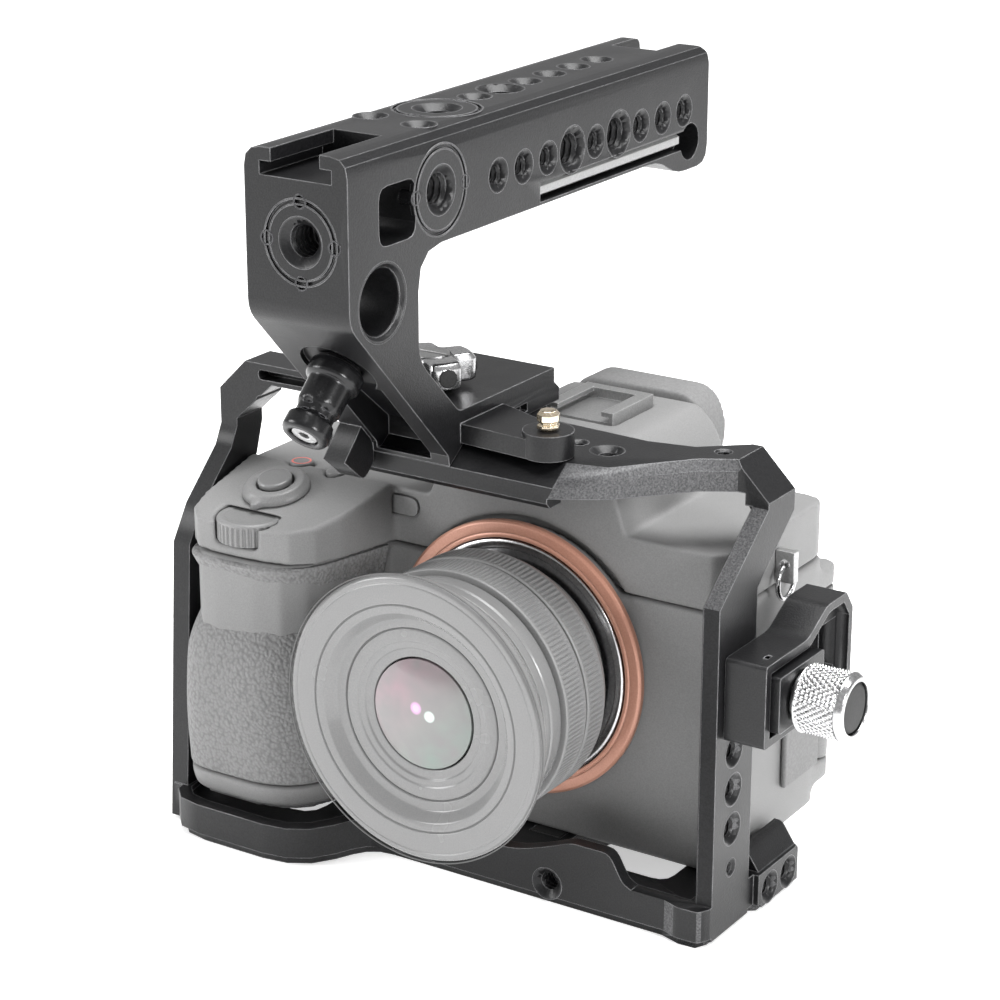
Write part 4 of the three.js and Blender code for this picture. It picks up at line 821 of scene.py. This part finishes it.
def cable_knob():
    """A knurled knob: its radius rises with the product of two crossed triangle waves, which cut diamonds."""
    centre = np.array(JOINT["jaw_knob_turn"]["pos_m"]) / MM * [0, 1, 1]
    start, end = high("clamp_jaw")[0] + 0.3, high("clamp_knob")[0]
    outer, count, lead = 8.05, 34, 2.1

    def knurled(a, r, h):
        turn = a / (2 * math.pi) * count
        diamonds = triangle(turn + h / lead) * triangle(turn - h / lead)
        window = np.clip((h - start - 1.9) / 0.4, 0, 1) * np.clip((end - 1.9 - h) / 0.4, 0, 1)
        return np.where(r > outer - 0.02, r - 0.62 * window * (1 - diamonds), r)

    profile = [[0, start], [5.9, start], [5.9, start + 1.0], [outer, start + 1.6], [outer, end - 1.5],
               [7.3, end - 0.2], [6.9, end], [6.15, end], [6.05, end - 0.4], [6.05, end - 1.9],
               [0, end - 1.9]]
    head = lathe(profile, centre, "x", 0.18, 374, knurled, 0.16)
    tip = low("clamp_knob")[0]
    spindle = lathe([[0, tip], [2, tip], [2, start + 0.5], [0, start + 0.5]],
                    centre, "x", 0.1, 32)
    add_piece("cable_knob_knurled", [head, spindle], "jaw_knob", BRIGHT, ["clamp_knob"])
    cap = lathe([[0, end - 1.8], [5.85, end - 1.8], [5.85, end - 0.75], [5.2, end - 0.45], [0, end - 0.4]],
                centre, "x", 0.3, 72)
    add_piece("cable_knob_cap", [cap], "jaw_knob", RUBBER, ["clamp_knob_cap"])


machined("clamp_body", "cable_clamp_body", ANODISED)
machined("clamp_jaw", "cable_clamp_jaw", ANODISED)
machined("clamp_screw_lower", "clamp_screw_a", BLACK)
machined("clamp_screw_upper", "clamp_screw_b", BLACK)
cable_knob()


# ---------- Camera ----------


def bump_at(z, centre, spread):
    """A bell curve of height over z."""
    return np.exp(-(((z - centre) / spread) ** 2))


def grip_outline():
    """Plan of the hand grip, with a small radius behind and wide ones at its front corners."""
    left, front = low("grip_cover")[:2]
    right, back = high("grip_cover")[:2]
    corners = [[left + 3, back - 0.2], [left, back - 4], [left, front], [right - 7.5, front + 0.2],
               [right, back - 35], [left + 22, back - 22]]
    return rows_between(softened(corners, [1, 4, 10, 15, 1, 6], 10), 0.55)


GRIP_HEART = np.array([-59.4, -14.0])  # the plan point that the grip is drawn in towards


def grip_share(z):
    """How far the grip is drawn in at a height: a waist under the finger wheel, a full palm and a tuck at
    the foot."""
    return 0.175 * bump_at(z, 62.5, 9.0) - 0.045 * bump_at(z, 33, 15) + 0.05 * bump_at(z, 9, 5)


def grip_grid(outline, heights):
    """The plan drawn in towards an inner point by a share that varies with height. The share fades out
    towards the back, and the palm swells forward but not sideways."""
    z = heights[:, None]
    ease = np.clip((6 - outline[None, :, 1]) / 22, 0, 1)
    share = grip_share(z) * ease * ease * (3 - 2 * ease)
    edge = np.clip(np.minimum(z - heights[0], heights[-1] - z) / 1.2, 0, 1)
    share = share + 0.03 * (1 - np.sqrt(1 - (1 - edge) ** 2))
    x = GRIP_HEART[0] + (outline[None, :, 0] - GRIP_HEART[0]) * (1 - 0.7 * np.maximum(share, 0))
    y = GRIP_HEART[1] + (outline[None, :, 1] - GRIP_HEART[1]) * (1 - share)
    return np.stack([x, y, z + 0 * x], -1)


DROP = {"top": 69.4, "long": 9.8, "half": 1.7, "left": -61.5, "lean": 1.6, "proud": 0.35, "sunk": 0.25}


def grip_drop():
    """A smooth drop-shaped inlay on the grip's waist: its half-width at a share t of its length is
    half sqrt(t) (1 - t^6), widest below, and its face follows the leather and stands proud of it."""
    t = np.linspace(0.0, 1.0, 40)[:, None]
    across = np.linspace(-1, 1, 17)[None, :]
    z = DROP["top"] - DROP["long"] * t + 0 * across
    x = DROP["left"] + DROP["lean"] * t + DROP["half"] * np.sqrt(t) * (1 - t**6) * across
    front = low("grip_cover")[1]
    y = GRIP_HEART[1] + (front - GRIP_HEART[1]) * (1 - grip_share(z))
    y = y - DROP["proud"] * np.sqrt(np.clip(1 - across**2, 0, 1)) + DROP["sunk"]
    face = np.stack([x, y, z], -1)
    behind = face[:, ::-1] + [0, 1.4, 0]
    shape = capped(np.concatenate([face, behind], 1))
    add_piece("grip_inlay", [shape], "rig", SHELL_GLOSS, (), 50, OPEN_ENDS)


def capped(grid):
    """The grid with its first and last rows drawn to their middles, which closes both ends."""
    first = np.broadcast_to(grid[0].mean(0), grid[0].shape)[None]
    last = np.broadcast_to(grid[-1].mean(0), grid[-1].shape)[None]
    return np.concatenate([first, grid, last])


def hand_grip():
    """The leather-grained grip between a smooth foot band and the top cover."""
    outline = grip_outline()
    floor, roof = low("grip_cover")[2], high("grip_cover")[2]
    band = 6.0
    leather = grip_grid(outline, np.linspace(floor + band, roof, 90))
    add_piece("grip_leather", [capped(leather)], "rig", LEATHER_GRIP, ["grip_cover"], 50, OPEN_ENDS)
    foot = grip_grid(outline * 0.997 + [-0.15, -0.05], np.linspace(floor, floor + band - 0.25, 14))
    add_piece("grip_foot_band", [capped(foot)], "rig", SHELL, (), 50, OPEN_ENDS)
    grip_drop()


def ribs(count, depth, start, end):
    """A wave for turned pieces: count grip ribs, depth deep, between two heights on the outermost radius."""
    def wave(a, r, h):
        window = np.clip((h - start) / 0.25, 0, 1) * np.clip((end - h) / 0.25, 0, 1)
        square = np.clip(1.6 * np.cos(count * a), -1, 1)
        return r - depth * window * (1 - square) / 2 * (r > r.max() - 0.35)
    return wave


def dial(node, name, count, depth, dish):
    """A control dial on its own upright axis: ribbed side, softened edge and a slightly sunk top."""
    base, top = low(node)[2], high(node)[2]
    radius = (high(node)[0] - low(node)[0]) / 2
    profile = [[0, base], [radius, base], [radius, top - 0.5], [radius - 0.6, top], [radius - 1.7, top],
               [radius - 2.1, top - dish], [0, top - dish]]
    wave = ribs(count, depth, base, top - 0.7)
    grid = lathe(profile, middle(node) * [1, 1, 0], "z", 0.25, count * 8, wave, 0.4)
    add_piece(name, [grid], body_of(node), CONTROL, [node])


def rear_dial():
    """The thumb dial, turning on a level axis."""
    start, end = low("rear_dial")[0], high("rear_dial")[0]
    radius = 3.4
    profile = [[0, start], [radius, start], [radius, end], [0, end]]
    wave = ribs(30, 0.3, start + 0.6, end - 0.6)
    grid = lathe(profile, middle("rear_dial") * [0, 1, 1], "x", 0.4, 240, wave, 0.4)
    add_piece("thumb_dial", [grid], body_of("rear_dial"), CONTROL, ["rear_dial"])


def shutter_group():
    """The dished shutter button inside the power lever's collar, both on the grip's sloping top."""
    joint = JOINT["power_turn"]
    seat, axis = np.array(joint["pos_m"]) / MM, joint["axis"]

    def thumb(a, r, h):
        tab = 1.7 * np.exp(-(((a - math.pi) / 0.15) ** 2)) * np.clip((2.2 - h) / 0.6, 0, 1)
        return np.where(r > 6.6, r + tab, r)

    collar = lathe([[4.7, 0.3], [8.4, 0.3], [8.2, 1.3], [7.0, 2.7], [5.4, 2.8], [4.7, 2.5]],
                   seat, axis, 0.35, 180, thumb, 0.5)
    add_piece("power_collar", [collar], "power", CONTROL, ["power_lever"])
    button = lathe([[0, -4.5], [1.9, -4.5], [1.9, 2.2], [4.2, 2.2], [4.2, 3.5], [3.8, 3.8], [2.6, 3.68],
                    [0, 3.5]], seat, axis, 0.25, 96)
    add_piece("shutter_cap", [button], "shutter", SHELL_GLOSS, ["shutter_button"])


def push_button(node, name):
    """A round button with a softened rim."""
    base, top = low(node)[2], high(node)[2]
    radius = (high(node)[0] - low(node)[0]) / 2
    grid = lathe([[0, base], [radius, base], [radius, top - 0.2], [radius - 0.35, top], [0, top - 0.05]],
                 middle(node) * [1, 1, 0], "z", 0.3, 64)
    add_piece(name, [grid], body_of(node), CONTROL, [node])


def record_ring():
    """The red ring printed round the record button's top."""
    top = high("record_button")[2]
    grid = lathe([[2.0, top - 0.1], [2.5, top - 0.1], [2.5, top + 0.03], [2.0, top + 0.03]],
                 middle("record_button") * [1, 1, 0], "z", 0.05, 64)
    add_piece("record_red_ring", [grid], "record", RECORD_RED)


moulded("camera_body", "camera_shell", SHELL, 0.8, 4)
moulded("top_cover", "camera_top_shell", SHELL, 0.6, 5)
moulded("eyecup", "eyecup_rubber", EYE_RUBBER, 0.6, 6)
machined("hot_shoe", "hot_shoe_rails", SATIN)
machined("lamp_window", "focus_lamp", LAMP)
machined("strap_lug", "strap_lug_tab", SATIN)
machined("strap_ring", "strap_ring_wire", BRIGHT, None, 80)
rounded_copy("port_door", "side_port_door", EYE_RUBBER, 0.5)
rounded_copy("screen_panel", "screen_frame", SHELL, 0.7)
rounded_copy("screen_glass", "screen_front", SCREEN_GLASS, 0.15)
rounded_copy("screen_arm", "screen_hinge_arm", CONTROL, 0.4)
machined("sensor", "image_sensor", SCREEN_GLASS)
hand_grip()
dial("front_dial", "finger_wheel", 36, 0.45, 0.2)
dial("mode_dial", "mode_dial_ribbed", 44, 0.3, 0.3)
dial("exposure_dial", "exposure_dial_ribbed", 36, 0.35, 0.3)
rear_dial()
shutter_group()
push_button("record_button", "record_cap")
push_button("custom_button", "custom_cap")
record_ring()


# ---------- Lens ----------

LENS_AXIS = middle("mount_ring") * [1, 0, 1]


def lens_ring(name, corners, finish, hides, body="rig", wave=None, size=0.2, longest=0.0, sides=192):
    """A piece turned round the lens axis, its profile as (radius, place along Y)."""
    grid = lathe(corners, LENS_AXIS, "y", size, sides, wave, longest)
    return add_piece(name, [grid], body, finish, hides)


def mount():
    """The orange mount ring with the bright bayonet inside it and a fine lit lip between them."""
    face, back = low("mount_ring")[1], high("mount_ring")[1]
    outer = high("mount_ring")[0]
    lens_ring("lens_mount_ring", [[29.9, back], [outer, back], [outer, face + 0.5], [outer - 0.6, face],
                                  [31.2, face], [31.0, face + 0.25], [30.7, face], [29.9, face]],
              ORANGE, ["mount_ring"], size=0.12)
    lens_ring("lens_bayonet", [[24.2, back], [29.6, back], [29.6, face - 0.4], [29.1, face - 0.6],
                               [27.6, face - 0.6], [27.4, face - 0.2], [24.2, face - 0.2]],
              BRIGHT, ["bayonet_ring"], size=0.12)


def barrel():
    """The fixed barrel: a cone to the mount, two plain bands and the flared front."""
    back = high("lens_barrel")[1]
    front = low("lens_barrel")[1]
    mid = low("aperture_ring")[1]
    lens_ring("lens_barrel_shell", [
        [16, back - 1], [25, back - 0.1], [25.6, back - 1.6], [26.6, back - 4.4], [28.6, back - 5.6],
        [28.6, back - 8.1], [27.4, back - 8.4], [27.4, mid + 0.2], [28.9, mid], [28.9, mid - 0.5],
        [27.4, mid - 0.7], [27.4, -43.9], [28.9, -44.2], [29.4, -48.6], [29.0, -49.0],
        [29.4, -49.4], [29.6, front], [24, front],
        [16, -45],
    ], SHELL_GLOSS, ["lens_barrel"], size=0.3)


def turning_rings():
    """The aperture and focus rings, with fine ribs cut all round."""
    for node, name, count in (("aperture_ring", "aperture_ribbed", 150), ("focus_ring", "focus_ribbed", 170)):
        front, back = low(node)[1], high(node)[1]
        profile = [[26.9, front], [30.0, front], [30.2, front + 0.4], [30.2, back - 0.4], [30.0, back],
                   [26.9, back]]
        wave = ribs(count, 0.4, front + 0.9, back - 0.9)
        lens_ring(name, profile, CONTROL, [node], body_of(node), wave, 0.15, 0.5, count * 6)


def front_ring():
    """The wide flared front: a lit rim, a flat face, a concave lip and steps down to the glass."""
    face = low("lens_front_ring")[1]
    outer = high("lens_front_ring")[0]
    lens_ring("lens_front_flare", [
        [29.4, face + 8.3], [30.2, face + 7.6], [32.0, face + 4.4], [outer - 0.2, face + 2.4],
        [outer, face + 1.8], [outer, face + 0.7], [outer - 0.7, face + 0.05], [outer - 1.6, face],
        [outer - 1.8, face + 0.22],
        [outer - 2.1, face + 0.02], [27.4, face + 0.02], [27.1, face + 0.35], [26.8, face + 0.1],
        [25.0, face + 0.5], [23.6, face + 2.2], [22.9, face + 3.0], [20.9, face + 3.2], [20.6, face + 3.5],
        [20.3, face + 3.25], [17.6, face + 3.3], [17.3, face + 3.6], [15.9, face + 3.7], [15.6, face + 4.1],
        [13.6, face + 4.2], [13.3, face + 5.2], [13.3, face + 6.6], [20, face + 8.2],
    ], SHELL_GLOSS, ["lens_front_ring"], size=0.22)
    lines = [
        lathe([[r - half, y + 0.3], [r + half, y + 0.3], [r + half, y], [r - half, y]],
              LENS_AXIS, "y", 0.03, 160)
        for r, half, y in ((34.4, 0.13, face + 0.02), (27.1, 0.22, face + 0.12), (20.6, 0.14, face + 3.2))
    ]
    add_piece("lens_step_lines", lines, "rig", LINE)


def glass():
    """A coated front element domed forward, and a small rear element behind it."""
    face, back = low("front_element")[1], high("front_element")[1]
    radius = 13.1
    r = np.linspace(radius, 0, 14)
    dome = np.stack([r, face + 2.0 * (r / radius) ** 2], -1)
    profile = np.vstack([[[0, back], [radius, back]], dome])
    add_piece("front_glass", [turned(profile, LENS_AXIS, "y", 96)], "rig", PAINTED_REFLECTION_GLASS, ["front_element"], 60)
    inner = low("inner_element")[1]
    lens_ring("rear_glass", [[0, inner + 5], [15.6, inner + 5], [15.6, inner + 3], [8, inner + 0.6],
                             [0, inner]],
              PAINTED_REFLECTION_GLASS, ["inner_element"], size=1.5)


def release_button():
    """The lens release beside the mount."""
    face, back = low("lens_release_button")[1], high("lens_release_button")[1]
    centre = middle("lens_release_button") * [1, 0, 1]
    grid = lathe([[0, face + 0.1], [2.9, face], [3.4, face + 0.4], [3.4, back], [0, back]],
                 centre, "y", 0.3, 64)
    add_piece("lens_release_cap", [grid], "lens_release", CONTROL, ["lens_release_button"])


mount()
barrel()
turning_rings()
front_ring()
glass()
release_button()


# ---------- Floor, light and camera ----------


def pale_floor():
    """A wide pale floor with a trace of mottling."""
    mesh = bpy.data.meshes.new("studio_floor")
    far, level = 12.0, cad_box[0][2]
    corners = [(-far, -far, level), (far, -far, level), (far, far, level), (-far, far, level)]
    mesh.from_pydata(corners, [], [(0, 1, 2, 3)])
    floor = bpy.data.objects.new("studio_floor", mesh)
    bpy.context.scene.collection.objects.link(floor)
    material, tree, shader, place = start_material("floor_paper")
    mottle = noise_node(tree, place, 6.0, 2.0, 0.5)
    tree.links.new(between(tree, mottle, (0.86, 0.86, 0.86), (0.90, 0.90, 0.90)), shader.inputs["Base Color"])
    shader.inputs["Roughness"].default_value = 0.9
    shader.inputs["Emission Color"].default_value = (1, 1, 1, 1)
    shader.inputs["Emission Strength"].default_value = 0.5
    mesh.materials.append(material)


def area_light(name, place, target, size, watts):
    """A square soft light at a place, aimed at a target, in metres."""
    lamp = bpy.data.lights.new(name, "AREA")
    lamp.size = size
    lamp.energy = watts
    light = bpy.data.objects.new(name, lamp)
    light.location = place
    light.rotation_euler = (Vector(target) - Vector(place)).to_track_quat("-Z", "Y").to_euler()
    bpy.context.scene.collection.objects.link(light)


def studio_light():
    """A white surround with soft boxes above, to the left and to the right."""
    world = bpy.data.worlds.new("studio")
    world.use_nodes = True
    world.node_tree.nodes["Background"].inputs["Color"].default_value = (1, 1, 1, 1)
    seen = world.node_tree.nodes.new("ShaderNodeLightPath")
    level = world.node_tree.nodes.new("ShaderNodeMapRange")
    level.inputs["To Min"].default_value = 0.5
    level.inputs["To Max"].default_value = 1.05
    world.node_tree.links.new(seen.outputs["Is Camera Ray"], level.inputs["Value"])
    world.node_tree.links.new(level.outputs["Result"], world.node_tree.nodes["Background"].inputs["Strength"])
    bpy.context.scene.world = world
    centre = (0, 0, 0.09)
    area_light("soft_box_top", (0.1, 0.15, 1.1), centre, 0.8, 22)
    area_light("soft_box_left", (-0.9, -0.7, 0.5), centre, 0.5, 9)
    area_light("soft_box_right", (1.0, -0.3, 0.5), centre, 0.3, 9)


def shot():
    """The main camera: front right of the rig and above it, on a long lens."""
    lens = bpy.data.cameras.new("main_camera")
    lens.sensor_width = 36
    lens.lens = 102.95
    camera = bpy.data.objects.new("main_camera", lens)
    camera.location = (0.33611, -0.54196, 0.31295)
    camera.rotation_euler = (math.radians(90 - 19.49), 0, math.radians(33.02))
    bpy.context.scene.collection.objects.link(camera)
    bpy.context.scene.camera = camera


pale_floor()
studio_light()
shot()
bpy.context.scene.view_settings.view_transform = "Standard"
